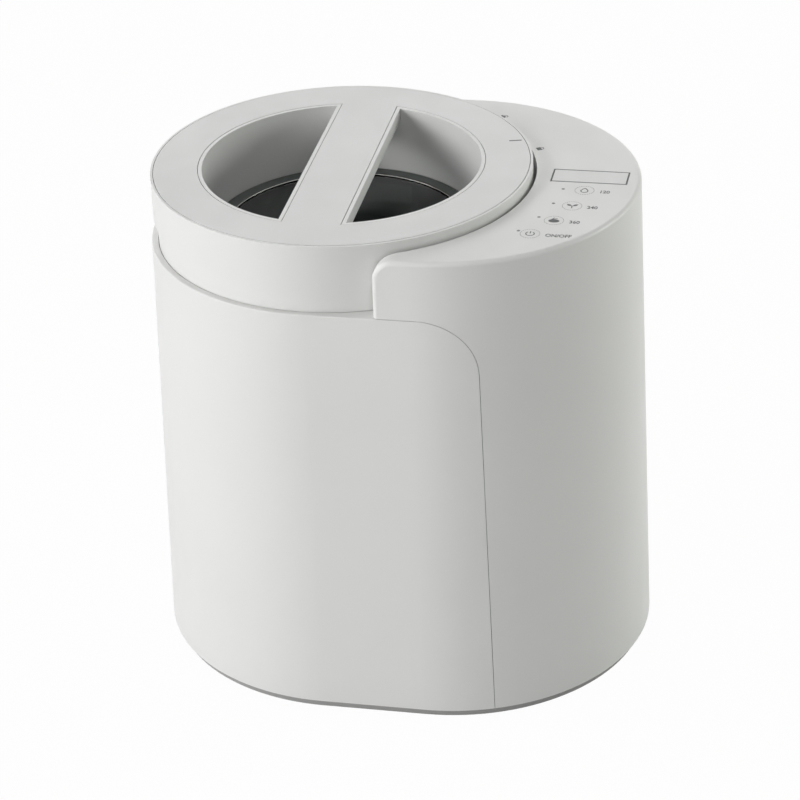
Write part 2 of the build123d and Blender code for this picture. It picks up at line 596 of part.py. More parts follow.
LINER_TOP = GLASS_TOP + SEAM / 2
LINER_LIP_R = SEAL_R + SEAL_W / 2 + SOFT_FIT
LINER_PLUG_R = LINER_LIP_R + LIP_W
LINER_NECK_R = COLLAR_IN_R - LINER_T
LINER_FLANGE_Z = LID_SEAM_Z + 0.1
LINER_INNER_R = SEAL_R - SEAL_W / 2 - SOFT_FIT
LID_SCREW_CIRCLE_R = (BOWL_FOOT_R + BOWL_WALL + LINER_INNER_R) / 2 + 1.0
LID_SCREW_PLACES = [on_circle(LID_SCREW_CIRCLE_R, 360 * (i + 0.5) / LID_SCREWS) for i in range(LID_SCREWS)]


def lid_liner():
    """Heat-proof tray that closes the lid from below, carries the glass and holds the seal in a groove."""
    seat_r, rim_r = GLASS_R - BEZEL_W, GLASS_R + SOFT_FIT
    flange_r = LID_R - LID_SKIRT_T - 0.1
    tray = spun([(seat_r, SEAT_Z), (LINER_INNER_R, SEAT_Z), (LINER_INNER_R, GROOVE_Z),
                 (LINER_LIP_R, GROOVE_Z), (LINER_LIP_R, SEAT_Z), (LINER_PLUG_R, SEAT_Z),
                 (LINER_PLUG_R, LINER_TOP), (LINER_NECK_R, LINER_FLANGE_Z - LINER_T),
                 (LINER_NECK_R, LINER_FLANGE_Z), (flange_r, LINER_FLANGE_Z),
                 (flange_r, LINER_FLANGE_Z + LINER_T), (LINER_NECK_R - LINER_T, LINER_FLANGE_Z + LINER_T),
                 (LINER_NECK_R - LINER_T, LINER_FLANGE_Z - LINER_T), (LINER_LIP_R, LINER_TOP),
                 (rim_r, LINER_TOP), (rim_r, GLASS_Z), (seat_r, GLASS_Z)], LID_X)
    for x, y in LID_SCREW_PLACES:
        tray -= drum(LID_SCREW_R + RUN_FIT, 0, LINER_TOP + 1, x, y)
        tray -= drum(2 * LID_SCREW_R, 0, SEAT_Z + LID_SCREW_R, x, y)
    return tray


def lid_screws():
    """Screws from below through the liner into the lid body."""
    screws = []
    for x, y in LID_SCREW_PLACES:
        head_top = SEAT_Z + LID_SCREW_R
        shank = drum(LID_SCREW_R, SEAT_Z, head_top + LID_SCREW_LEN, x, y)
        screws.append(drum(2 * LID_SCREW_R - RUN_FIT, SEAT_Z + RUN_FIT, head_top, x, y) + shank)
    return Part() + screws


def lid_magnet():
    """Magnet on the liner's flange that works the lid switch when the lid is locked."""
    r = (LINER_NECK_R - LINER_T + LID_R - LID_SKIRT_T) / 2
    z = LINER_FLANGE_Z + LINER_T
    return drum(MAGNET_R, z, z + MAGNET_T, *on_circle(r, LOCK_ANGLE))


def lid_seal():
    """Silicone ring between the lid and the bucket's rim; it stays still while the lid turns."""
    r_in, r_out = SEAL_R - SEAL_W / 2, SEAL_R + SEAL_W / 2
    top, nose = SEAL_Z + SEAL_H, SEAL_Z + SEAL_H / 3
    return spun([(SEAL_R - SEAL_W / 4, SEAL_Z), (SEAL_R + SEAL_W / 4, SEAL_Z), (r_out, nose), (r_out, top),
                 (r_in, top), (r_in, nose)], LID_X)


def window_glass():
    """Round pane in the floor of the bowl."""
    return drum(GLASS_R, GLASS_Z, GLASS_TOP, LID_X)


def window_bezel():
    """Ring on the edge of the pane, a hair's breadth inside the bowl."""
    r = BOWL_FOOT_R - 2 * SOFT_FIT
    ring = tube(r, r - BEZEL_W, GLASS_TOP, GLASS_TOP + BEZEL_T, LID_X)
    top = ring.edges().filter_by(lambda e: abs(e.center().Z - GLASS_TOP - BEZEL_T) < 0.01)
    return chamfer(top, BEZEL_T / 3)


# ---------------------------------------------------------------- bucket and agitator
def bucket():
    """Drawn aluminium bucket with a flat rim, vent slots, two finger slots and a hole for the bush."""
    r_out, floor_top = BUCKET_R + BUCKET_WALL, BUCKET_FLOOR_Z + BUCKET_FLOOR_T
    outside = drum(r_out, BUCKET_FLOOR_Z, BUCKET_RIM_Z, LID_X)
    outside = fillet(outside.edges().group_by(Axis.Z)[0], BUCKET_CORNER_R)
    inside = drum(BUCKET_R, floor_top, BUCKET_RIM_Z + 1, LID_X)
    inside = fillet(inside.edges().group_by(Axis.Z)[0], BUCKET_CORNER_R - BUCKET_WALL)
    pail = outside + drum(r_out + BUCKET_RIM_W, BUCKET_RIM_Z - BUCKET_RIM_T, BUCKET_RIM_Z, LID_X) - inside
    pail -= drum(BUSH_R, 0, BUCKET_RIM_Z, LID_X)
    for i in range(VENTS):
        angle = 360 * (i + 0.5) / VENTS
        if abs(sin(radians(angle))) * BUCKET_R < BUCKET_R - GRIP_W / 4:
            slot = block((BUCKET_R / 2, r_out + 1), (-VENT_W / 2, VENT_W / 2), (VENT_Z, VENT_Z + VENT_H))
            pail -= Pos(LID_X, 0, 0) * Rot(0, 0, angle) * slot
    return pail - finger_slot(0.0)


def finger_slot(inset):
    """Blocks through the front and back of the bucket's wall."""
    return block((LID_X - GRIP_W / 2 + inset, LID_X + GRIP_W / 2 - inset), (-FAR, FAR),
                 (GRIP_Z + inset, GRIP_Z + GRIP_H - inset))


def bucket_grips():
    """Two nylon frames that line the finger slots."""
    outer_r = BUCKET_R + BUCKET_WALL + CHAMBER_FIT / 3
    wall = tube(outer_r, BUCKET_R - BUCKET_WALL, GRIP_Z, GRIP_Z + GRIP_H, LID_X)
    return wall & (finger_slot(RUN_FIT) - finger_slot(GRIP_FRAME))


def bucket_bush():
    """Plastic bush in the bucket's floor that the agitator turns in."""
    bore = SHAFT_R + RUN_FIT
    floor_top = BUCKET_FLOOR_Z + BUCKET_FLOOR_T
    bush = tube(BUSH_R, bore, BUCKET_FLOOR_Z, floor_top + BUSH_FLANGE_T, LID_X)
    return bush + tube(BUSH_FLANGE_R, bore, floor_top, floor_top + BUSH_FLANGE_T, LID_X)


def hexagon(corner_r, z0, z1):
    """Upright hexagonal bar on the lid's axis."""
    return Pos(LID_X, 0, z0) * extrude(RegularPolygon(corner_r, 6), z1 - z0)


def agitator_shaft():
    """Steel shaft through the bucket's floor."""
    return drum(SHAFT_R, DOG_Z + HEX_H + DOG_GAP, SHAFT_TOP_Z, LID_X)


def agitator_dog():
    """Cup under the bucket with the hexagonal socket that drops onto the drive shaft."""
    cup = drum(DOG_R, DOG_Z, DOG_Z + DOG_H, LID_X) - hexagon(HEX_R + HEX_FIT, DOG_Z - 1, DOG_Z + HEX_H)
    return cup - drum(SHAFT_R + RUN_FIT, DOG_Z + HEX_H - 0.1, FAR, LID_X)


def agitator_arms():
    """Hub with three tilted arms, the lowest of which scrapes the floor."""
    hub_z = BUCKET_FLOOR_Z + BUCKET_FLOOR_T + BUSH_FLANGE_T + DOG_GAP
    arms = drum(HUB_R, hub_z, SHAFT_TOP_Z - NUT_H, LID_X)
    for z, angle in zip(ARM_HEIGHTS, ARM_ANGLES):
        arm = Rot(ARM_TILT, 0, 0) * Box(ARM_R, ARM_W, ARM_T, align=(Align.MIN, Align.CENTER, Align.CENTER))
        tip_z = ARM_W * sin(radians(ARM_TILT)) / 2
        finger = Pos(ARM_R - ARM_T, 0, tip_z) * Cylinder(ARM_T / 2, 2 * ARM_W, align=UP)
        arms += Pos(LID_X, 0, z) * Rot(0, 0, angle) * (arm + finger)
    return arms - drum(SHAFT_R + RUN_FIT, 0, FAR, LID_X)


def agitator_nut():
    """Domed nut on top of the shaft."""
    z = SHAFT_TOP_Z - NUT_H
    nut = hexagon(NUT_R, z, SHAFT_TOP_Z) + Pos(LID_X, 0, SHAFT_TOP_Z) * Sphere(SHAFT_R + 1)
    return (nut & drum(NUT_R, z, FAR, LID_X)) - drum(SHAFT_R + RUN_FIT, 0, SHAFT_TOP_Z + RUN_FIT, LID_X)


# ---------------------------------------------------------------- heated chamber
def duct_bore(r, reach):
    """Round bore that runs from the chamber towards the blower."""
    along = Pos(LID_X, 0, DUCT_Z) * Rot(0, 0, DUCT_ANGLE) * Rot(0, 90, 0)
    return along * Cylinder(r, reach, align=UP)


def chamber_liner():
    """Steel pot that the bucket hangs in, with a flange at the top and a port for the exhaust duct."""
    r_out = CHAMBER_R + CHAMBER_T
    floor_top = CHAMBER_Z + CHAMBER_T
    pot = drum(r_out, CHAMBER_Z, CHAMBER_TOP, LID_X)
    pot += drum(CHAMBER_R + CHAMBER_FLANGE_W, CHAMBER_TOP - CHAMBER_FLANGE_T, CHAMBER_TOP, LID_X)
    pot -= drum(CHAMBER_R, floor_top, CHAMBER_TOP + 1, LID_X)
    pot -= drum(SEAL_HOUSING_R, 0, floor_top + 1, LID_X)
    return pot - duct_bore(BLOWER_INLET_R, 2 * r_out)


SEAL_HOUSING_R = 17.0


def shaft_seal():
    """Rubber lip seal in the chamber's floor, round the drive shaft."""
    flange_z = CHAMBER_Z - CHAMBER_T
    bore = DRIVE_SHAFT_R + SOFT_FIT
    seal = tube(SEAL_HOUSING_R - RUN_FIT, bore, CHAMBER_Z, CHAMBER_Z + CHAMBER_T, LID_X)
    return seal + tube(SEAL_HOUSING_R + COLLAR_WALL, bore, flange_z, CHAMBER_Z, LID_X)


def insulation_jacket():
    """Felt sleeve round the chamber."""
    sleeve = tube(JACKET_OUT_R, JACKET_R, HEATER_Z, CHAMBER_TOP - CHAMBER_FLANGE_T, LID_X)
    return sleeve - duct_bore(BLOWER_INLET_R + DUCT_WALL + JACKET_FIT, 2 * JACKET_OUT_R)


def element_ring(r):
    """The heating element's ring, at a given tube radius."""
    return Pos(LID_X, 0, HEATER_Z) * Torus(ELEMENT_R, r)


def heater_plate():
    """Cast plate under the chamber, grooved for the element."""
    plate = tube(HEATER_R, HEATER_HOLE_R, HEATER_Z, CHAMBER_Z, LID_X)
    return plate - element_ring(ELEMENT_TUBE_R + 2 * RUN_FIT)


def heating_element():
    """Tubular heating element, a ring pressed into the plate's groove."""
    return element_ring(ELEMENT_TUBE_R)


THERMOSTAT_PLACE = on_circle((ELEMENT_R + HEATER_HOLE_R) / 2, 90)


def thermostat():
    """Snap thermostat against the underside of the heater plate."""
    can = drum(THERMOSTAT_R, HEATER_Z - THERMOSTAT_T, HEATER_Z, *THERMOSTAT_PLACE)
    return can


def insulation_pad():
    """Stiff insulation disc that carries the heater, recessed for the element and the thermostat."""
    pad = tube(PAD_R, HEATER_HOLE_R, PAD_Z, HEATER_Z, LID_X)
    groove = ELEMENT_TUBE_R + 2 * SOFT_FIT
    pad -= tube(ELEMENT_R + groove, ELEMENT_R - groove, HEATER_Z - groove, HEATER_Z + 1, LID_X)
    return pad - drum(THERMOSTAT_R + SOFT_FIT, HEATER_Z - THERMOSTAT_T, HEATER_Z + 1, *THERMOSTAT_PLACE)


# ---------------------------------------------------------------- deck, gearbox and motor
def chassis_deck():
    """Round deck on four legs that carries the chamber; the gearbox hangs below it."""
    deck = tube(DECK_R, HEATER_HOLE_R - 2, DECK_Z, PAD_Z, LID_X)
    for i in range(LEGS):
        deck += drum(LEG_R, BASE_TOP, DECK_Z, *on_circle(LEG_CIRCLE_R, 360 * (i + 0.5) / LEGS))
    return deck


def case_outline(grow=0.0):
    """Plan of the gearbox: a hull round its three wheels."""
    wheels = ((LID_X, 0, OUTPUT_PITCH_R + GEAR_MODULE_2), (IDLER_X, 0, IDLER_PITCH_R + GEAR_MODULE_1),
              (MOTOR_X, MOTOR_Y, MOTOR_PITCH_R + GEAR_MODULE_1))
    rims = [Pos(x, y) * Circle(r + CASE_CLEAR + grow) for x, y, r in wheels]
    return make_hull([rim.edge() for rim in rims])


def gearbox_base():
    """Lower half of the gearbox: floor, side wall and the lower bearing's seat."""
    case = Pos(0, 0, CASE_Z) * extrude(case_outline(CASE_WALL), CASE_H - CASE_WALL)
    case -= Pos(0, 0, CASE_Z + CASE_WALL) * extrude(case_outline(), CASE_H)
    case += drum(BEARING_R + CASE_WALL, CASE_Z - BEARING_H + CASE_WALL, CASE_Z, LID_X)
    case -= drum(BEARING_R, CASE_Z - BEARING_H + 2 * CASE_WALL, FAR, LID_X)
    case -= drum(DRIVE_SHAFT_R + 1, 0, FAR, LID_X)
    case -= drum(AXLE_R + RUN_FIT, 0, FAR, IDLER_X)
    return case - drum(2 * MOTOR_SHAFT_R, 0, FAR, MOTOR_X, MOTOR_Y)


def gearbox_cover():
    """Upper plate of the gearbox, with the upper bearing's seat and spacers up to the deck."""
    z = CASE_TOP - CASE_WALL
    cover = Pos(0, 0, z) * extrude(case_outline(CASE_WALL), CASE_WALL)
    cover += drum(BEARING_R + CASE_WALL, CASE_TOP, CASE_TOP + BEARING_H - CASE_WALL, LID_X)
    cover -= drum(BEARING_R, z, CASE_TOP + BEARING_H - 2 * CASE_WALL, LID_X)
    cover -= drum(DRIVE_SHAFT_R + 1, 0, FAR, LID_X)
    cover -= drum(AXLE_R + RUN_FIT, 0, FAR, IDLER_X)
    for angle in (60, 180, 300):
        cover += drum(SPACER_R, CASE_TOP, DECK_Z, *on_circle(OUTPUT_PITCH_R - SPACER_R, angle))
    return cover


def output_bearings():
    """Two ball bearings for the drive shaft, in the gearbox's seats."""
    bore = DRIVE_SHAFT_R + RUN_FIT
    low = CASE_Z - BEARING_H + 2 * CASE_WALL
    high = CASE_TOP + BEARING_H - 2 * CASE_WALL
    return Part() + [tube(BEARING_R - RUN_FIT, bore, low, low + BEARING_H, LID_X),
                     tube(BEARING_R - RUN_FIT, bore, high - BEARING_H, high, LID_X)]


def drive_shaft():
    """Steel shaft from the gearbox up into the chamber, with the hexagon that drives the agitator."""
    foot = CASE_Z - BEARING_H + 2 * CASE_WALL
    shaft = drum(DRIVE_SHAFT_R, foot, DOG_Z, LID_X)
    return shaft + hexagon(HEX_R, DOG_Z - 0.1, DOG_Z + HEX_H - DOG_GAP)


def output_gear():
    """Large gear on the drive shaft."""
    phase = 180 / OUTPUT_TEETH
    return spur_gear(OUTPUT_TEETH, GEAR_MODULE_2, OUTPUT_GEAR_T, STAGE_2_Z, LID_X, 0, phase,
                     DRIVE_SHAFT_R + RUN_FIT / 2)


def idler_gear():
    """Compound gear between the motor and the output gear."""
    bore = AXLE_R + RUN_FIT
    large = spur_gear(IDLER_TEETH, GEAR_MODULE_1, GEAR_T, STAGE_1_Z, IDLER_X, 0,
                      MOTOR_BEARING + 180 / IDLER_TEETH, bore)
    pinion_t = GEAR_GAP + OUTPUT_GEAR_T
    return large + spur_gear(IDLER_PINION_TEETH, GEAR_MODULE_2, pinion_t, STAGE_1_Z + GEAR_T, IDLER_X, 0,
                             180, bore)


def idler_axle():
    """Pin between the gearbox's floor and cover that the idler turns on."""
    return drum(AXLE_R, CASE_Z, CASE_TOP, IDLER_X)


def drive_motor():
    """Motor with its own gearhead in one can, hung under the gearbox."""
    can = drum(MOTOR_R, CASE_Z - MOTOR_H, CASE_Z, MOTOR_X, MOTOR_Y)
    can = fillet(can.edges().group_by(Axis.Z)[0], RIM_R)
    return can - drum(MOTOR_SHAFT_R + RUN_FIT, CASE_Z - MOTOR_SHAFT_LEN - 1, FAR, MOTOR_X, MOTOR_Y)


def motor_pinion():
    """Pinion with the motor's shaft."""
    pinion = spur_gear(MOTOR_TEETH, GEAR_MODULE_1, GEAR_T, STAGE_1_Z, MOTOR_X, MOTOR_Y, MOTOR_BEARING + 180)
    return pinion + drum(MOTOR_SHAFT_R, CASE_Z - MOTOR_SHAFT_LEN, STAGE_1_Z + 1, MOTOR_X, MOTOR_Y)


# ---------------------------------------------------------------- control panel
def display_window():
    """Plain window, flush with the panel."""
    return display_pocket(0.0, PANEL_Z - DISPLAY_T, PANEL_Z)


def display_module():
    """Display under the window, on the control board."""
    return display_pocket(-2 * DISPLAY_REBATE, BOARD_Z + BOARD_T, PANEL_Z - DISPLAY_T)


def control_board():
    """Circuit board under the panel, hung from four posts."""
    span = block((BOARD_X, FAR), BOARD_Y, (BOARD_Z, BOARD_Z + BOARD_T))
    board = tapered_form(BOARD_Z - WALL, BOARD_Z + WALL, BOARD_INSET) & span
    return board - drum(RING_R + BOARD_CLEAR, 0, FAR, LID_X)


def touch_pads():
    """Conductive foam columns between the board and the panel, one under each touch place."""
    z = BOARD_Z + BOARD_T
    return Part() + [drum(KEY_PAD_R, z, PANEL_Z - PANEL_T, RING_X + x, y) for x, y in KEY_PLACES]


def status_lights():
    """Light pipes from the board to the panel's face, one beside each touch place."""
    places = [on_circle(LIGHT_CIRCLE_R, angle) for angle in LIGHT_ANGLES]
    return Part() + [drum(LIGHT_R, BOARD_Z + BOARD_T, PANEL_Z, x, y) for x, y in places]


def lid_switch():
    """Reed switch on the raised wall's inner ring, beside the lid's magnet."""
    depth, width, height = SWITCH_SIZE
    body = block((RING_R - depth / 2, RING_R + depth), (-width / 2, width / 2), (SWITCH_Z, SWITCH_Z + height))
    return Pos(LID_X, 0, 0) * Rot(0, 0, LOCK_ANGLE) * (body - drum(RING_R, 0, FAR))


# ---------------------------------------------------------------- blower, ducts and filter
def tower_shelf():
    """Shelf in the tower that carries the blower, on three posts."""
    plate = tapered_form(SHELF_PLATE_Z, BLOWER_Z, WALL + SEAM)
    plate -= drum(JACKET_OUT_R + SHELF_CLEAR, 0, FAR, LID_X)
    posts = [(TOWER_END + x, y) for x, y in SHELF_POSTS]
    plate &= block((min(x for x, y in posts) - 2 * POST_R, FAR), (-FAR, FAR), (0, FAR))
    plate -= outlet_block(SOFT_FIT, 0, FAR)
    return plate + [drum(POST_R, BASE_TOP, SHELF_PLATE_Z, x, y) for x, y in posts]


def outlet_block(grow, z0, z1):
    """Upright square column where the blower's air goes down to the filter."""
    return block((OUTLET_X - grow, OUTLET_X + OUTLET_W + grow),
                 (OUTLET_Y - OUTLET_W - grow, OUTLET_Y + grow), (z0, z1))


def blower_housing():
    """Scroll of the blower, with its inlet on top and its outlet box towards the filter."""
    top = BLOWER_Z + BLOWER_H
    outlet = block((OUTLET_X, OUTLET_X + OUTLET_W), (BLOWER_Y, OUTLET_Y), (BLOWER_Z, top))
    inside_z = (BLOWER_Z + BLOWER_WALL, top - BLOWER_WALL)
    channel = block((OUTLET_X + BLOWER_WALL, OUTLET_X + OUTLET_W - BLOWER_WALL),
                    (BLOWER_Y, OUTLET_Y - BLOWER_WALL), inside_z)
    scroll = drum(BLOWER_R, BLOWER_Z, top, BLOWER_X, BLOWER_Y) + outlet
    scroll -= drum(BLOWER_R - BLOWER_WALL, *inside_z, BLOWER_X, BLOWER_Y) + channel
    scroll -= drum(BLOWER_INLET_R, BLOWER_Z + BLOWER_H / 2, FAR, BLOWER_X, BLOWER_Y)
    return scroll - outlet_block(-BLOWER_WALL, 0, BLOWER_Z + BLOWER_H / 2)


def blower_motor():
    """Flat motor on the blower's floor, with the pin that the wheel turns on."""
    z = BLOWER_Z + BLOWER_WALL
    motor = drum(FAN_MOTOR_R, z, z + FAN_MOTOR_H, BLOWER_X, BLOWER_Y)
    return motor + drum(FAN_PIN_R, z, z + FAN_MOTOR_H + WHEEL_H - 1, BLOWER_X, BLOWER_Y)


def blower_wheel():
    """Wheel of the blower: a disc with a hub and forward-leaning blades under a ring."""
    z = BLOWER_Z + BLOWER_WALL + FAN_MOTOR_H + 1
    wheel = drum(WHEEL_R, z, z + BLOWER_WALL) + drum(2 * FAN_PIN_R + 2, z, z + WHEEL_H)
    wheel += tube(WHEEL_R, WHEEL_EYE_R, z + WHEEL_H - 1, z + WHEEL_H)
    blade_r = (WHEEL_EYE_R + WHEEL_R) / 2
    blade = Rot(0, 0, 35) * Box(WHEEL_R - WHEEL_EYE_R - 0.5, 1.0, WHEEL_H - 1, align=UP)
    for i in range(WHEEL_BLADES):
        wheel += Rot(0, 0, 360 * i / WHEEL_BLADES) * Pos(blade_r, 0, z) * blade
    return Pos(BLOWER_X, BLOWER_Y, 0) * (wheel - drum(FAN_PIN_R + RUN_FIT, 0, FAR))


def exhaust_duct():
    """Bent tube from the chamber's port to the blower's inlet."""
    start = on_circle(CHAMBER_R + CHAMBER_T + RUN_FIT, DUCT_ANGLE)
    path = FilletPolyline((*start, DUCT_Z), (BLOWER_X, BLOWER_Y, DUCT_Z),
                          (BLOWER_X, BLOWER_Y, BLOWER_Z + BLOWER_H), radius=DUCT_BEND_R)
    ring = Circle(BLOWER_INLET_R + DUCT_WALL) - Circle(BLOWER_INLET_R)
    bend = sweep((path ^ 0) * ring, path)
    return bend - drum(CHAMBER_R + CHAMBER_T, 0, FAR, LID_X)


def filter_duct():
    """Square tube from the blower's outlet through the shelf to the filter bay."""
    return outlet_block(0.0, BAY_Z[1], BLOWER_Z) - outlet_block(-DUCT_WALL, 0, FAR)


def filter_bay():
    """Sleeve that the filter drawer slides in, open at the back, on four legs."""
    sleeve = block(BAY_X, (BAY_Y, FAR), BAY_Z) & tapered_form(0, PANEL_Z, WALL + SEAM)
    inside = (BAY_X[0] + BAY_WALL, BAY_X[1] - BAY_WALL), (BAY_Y + BAY_WALL, FAR)
    sleeve -= block(*inside, (BAY_Z[0] + BAY_WALL, BAY_Z[1] - BAY_WALL))
    sleeve -= outlet_block(-DUCT_WALL, (BAY_Z[0] + BAY_Z[1]) / 2, FAR)
    for x in BAY_X[0], BAY_X[1] - BAY_LEG_W:
        for y in BAY_Y, PANEL_R / 2 - BAY_LEG_W:
            sleeve += block((x, x + BAY_LEG_W), (y, y + BAY_LEG_W), (BASE_TOP, BAY_Z[0]))
    return sleeve


def filter_drawer():
    """Tray with a curved front that completes the back of the tower; slots and a finger notch in it."""
    front = (tapered_form(SHELL_Z, PANEL_Z) - tapered_form(0, PANEL_Z + 1, WALL)) & drawer_opening()
    tray = block(DRAWER_X, (DRAWER_Y, FAR), DRAWER_Z) & tapered_form(SHELL_Z, PANEL_Z, WALL / 2)
    inside_x = (DRAWER_X[0] + DRAWER_WALL, DRAWER_X[1] - DRAWER_WALL)
    inside = block(inside_x, (DRAWER_Y + DRAWER_WALL, FAR), (DRAWER_Z[0] + DRAWER_WALL, FAR))
    tray -= inside & tapered_form(0, PANEL_Z, WALL)
    drawer = front + tray
    middle = (DRAWER_X[0] + DRAWER_X[1]) / 2
    notch_top = DRAWER_Z[1] - WALL
    drawer -= block((middle - NOTCH_W / 2, middle + NOTCH_W / 2), (PANEL_R / 2, FAR),
                    (notch_top - NOTCH_H, notch_top))
    first = middle - ((DRAWER_SLOTS - 1) * SLOT_PITCH + SLOT_W) / 2
    return drawer - air_slots(DRAWER_SLOTS, first, BACK_SLOT_Z, (PANEL_R / 2, FAR))


def carbon_cartridge():
    """Block of activated carbon in its frame, lifted out of the drawer to change it."""
    wall = DRAWER_WALL + CARTRIDGE_FIT
    depth = (DRAWER_Y + wall, cartridge_reach())
    frame = block((DRAWER_X[0] + wall, DRAWER_X[1] - wall), depth,
                  (DRAWER_Z[0] + DRAWER_WALL, DRAWER_Z[1] - CARTRIDGE_TOP))
    return frame


def cartridge_reach():
    """Furthest that a square block can reach back before it meets the drawer's front."""
    corner_x = DRAWER_X[1] - DRAWER_WALL - TOWER_X
    inner_r = end_radius(DRAWER_Z[1]) - WALL - SEAM
    return (inner_r ** 2 - corner_x ** 2) ** 0.5


# ---------------------------------------------------------------- power supply
def power_board():
    """Power supply board, standing against a rib of the base plate."""
    return block((POWER_X, POWER_X + BOARD_T), POWER_Y, POWER_Z)


def power_parts():
    """Transformer, heat sink and capacitors on the power board."""
    x = POWER_X + BOARD_T
    y0, z0 = POWER_Y[0], POWER_Z[0]
    parts = [block((x, x + depth), (y0 + along[0], y0 + along[1]), (z0 + up[0], z0 + up[1]))
             for depth, along, up in POWER_BLOCKS]
    for y, z, r, length in POWER_DRUMS:
        parts.append(Pos(x, y0 + y, z0 + z) * Rot(0, 90, 0) * Cylinder(r, length, align=UP))
    return Part() + parts


def inlet_block(inset, y_span):
    """Block of the mains inlet's outline, inset all round."""
    return block((INLET_X - INLET_W / 2 + inset, INLET_X + INLET_W / 2 - inset), y_span,
                 (INLET_Z - INLET_H / 2 + inset, INLET_Z + INLET_H / 2 - inset))


def inlet_face():
    """How far back the mains inlet's face lies."""
    return end_radius(INLET_Z + INLET_H / 2) - SOFT_FIT


def mains_inlet():
    """Mains inlet in the back of the wrap shell, flush with it, clipped behind the wall."""
    face = inlet_face()
    body = inlet_block(0.0, (face - INLET_DEPTH, face)) - inlet_block(SOCKET_WALL, (face - SOCKET_DEPTH, FAR))
    clip = inlet_block(-WALL, (face - INLET_DEPTH / 2, FAR)) & tapered_form(0, PANEL_Z, WALL)
    return body + (clip - inlet_block(SOCKET_WALL, (0, FAR)))


def inlet_pins():
    """Three flat pins in the mains inlet."""
    width, height, length = PIN_SIZE
    root = inlet_face() - SOCKET_DEPTH
    rise = {-1: -1.5, 0: 2.0, 1: -1.5}
    return Part() + [block((INLET_X + i * PIN_PITCH - width / 2, INLET_X + i * PIN_PITCH + width / 2),
                           (root, root + length),
                           (INLET_Z + rise[i] - height / 2, INLET_Z + rise[i] + height / 2)) for i in rise]


# ---------------------------------------------------------------- files
NODES = (base_plate, rubber_feet, base_screws, wrap_shell, tower_shell, collar_ring,
         lid_plate, lid_body, lid_liner, lid_screws, lid_magnet, lid_seal, window_glass, window_bezel,
         bucket, bucket_grips, bucket_bush, agitator_shaft, agitator_dog, agitator_arms, agitator_nut,
         chamber_liner, shaft_seal, insulation_jacket, heater_plate, heating_element, thermostat,
         insulation_pad, chassis_deck, gearbox_base, gearbox_cover, output_bearings, drive_shaft,
         output_gear, idler_gear, idler_axle, drive_motor, motor_pinion, display_window, display_module,
         control_board, touch_pads, status_lights, lid_switch, tower_shelf, blower_housing, blower_motor,
         blower_wheel, exhaust_duct, filter_duct, filter_bay, filter_drawer, carbon_cartridge,
         power_board, power_parts, mains_inlet, inlet_pins)

os.makedirs("parts", exist_ok=True)
for make_node in NODES:
    export_step(make_node(), f"parts/{make_node.__name__}.step")
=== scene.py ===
from math import cos, hypot, pi, radians, sin

import bmesh
import bpy
from mathutils import Matrix, Vector


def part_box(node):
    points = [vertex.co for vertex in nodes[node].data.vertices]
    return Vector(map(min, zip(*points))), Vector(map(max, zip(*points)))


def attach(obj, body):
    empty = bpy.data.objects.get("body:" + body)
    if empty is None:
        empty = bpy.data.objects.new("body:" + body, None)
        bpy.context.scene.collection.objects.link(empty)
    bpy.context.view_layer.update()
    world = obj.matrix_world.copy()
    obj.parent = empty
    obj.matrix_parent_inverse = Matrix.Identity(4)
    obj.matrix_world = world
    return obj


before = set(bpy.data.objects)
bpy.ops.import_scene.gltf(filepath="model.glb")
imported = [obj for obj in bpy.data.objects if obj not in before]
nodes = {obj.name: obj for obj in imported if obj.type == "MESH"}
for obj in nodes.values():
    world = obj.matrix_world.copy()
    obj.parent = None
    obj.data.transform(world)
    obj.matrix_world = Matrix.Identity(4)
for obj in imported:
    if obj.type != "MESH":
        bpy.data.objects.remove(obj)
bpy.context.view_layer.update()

# ------------------------------------------------------------------ camera
# The reference view: from the front, a little to the right and well above, with a long lens and a slight
# roll. The camera looks at a point near the middle of the appliance.
aim = Vector((-0.0021, 0.0, 0.1686))
distance = 1.9579
focal_length, film_width = 127.3, 36.0
turn, drop, roll = radians(12.076), radians(29.469), radians(-2.275)

camera = bpy.data.objects.new("camera", bpy.data.cameras.new("camera"))
bpy.context.scene.collection.objects.link(camera)
camera.data.lens = focal_length
camera.data.sensor_width = film_width
view = Matrix.Rotation(turn, 4, "Z") @ Matrix.Rotation(pi / 2 - drop, 4, "X") @ Matrix.Rotation(roll, 4, "Z")
camera.matrix_world = Matrix.Translation(aim) @ view @ Matrix.Translation((0, 0, distance))
bpy.context.scene.camera = camera
bpy.context.scene.view_settings.view_transform = "Standard"


# ------------------------------------------------------------------ table and backdrop
# A white studio table that carries on to the horizon. The camera and every reflection see it as plain
# white, apart from the appliance's own soft shadow; for lighting the object it is a pale matt surface.
table_half_width = 6.0
table_grey = 0.62
seen_white_share = 0.975


def linked(tree, source, *targets):
    """Join one output to several inputs of a node tree."""
    for target in targets:
        tree.links.new(source, target)


def new_material(name):
    """An empty material with its output, ready for a shader."""
    material = bpy.data.materials.new(name)
    material.use_nodes = True
    tree = material.node_tree
    tree.nodes.clear()
    return material, tree, tree.nodes.new("ShaderNodeOutputMaterial")


def new_surface(name):
    """A material with a plain surface shader joined to its output."""
    material, tree, output = new_material(name)
    surface = tree.nodes.new("ShaderNodeBsdfPrincipled")
    linked(tree, surface.outputs[0], output.inputs["Surface"])
    return material, tree, surface


def as_object(name, shape):
    """Put a drawn shape into the scene as an object of its own."""
    mesh = bpy.data.meshes.new(name)
    shape.to_mesh(mesh)
    shape.free()
    made = bpy.data.objects.new(name, mesh)
    bpy.context.scene.collection.objects.link(made)
    return made


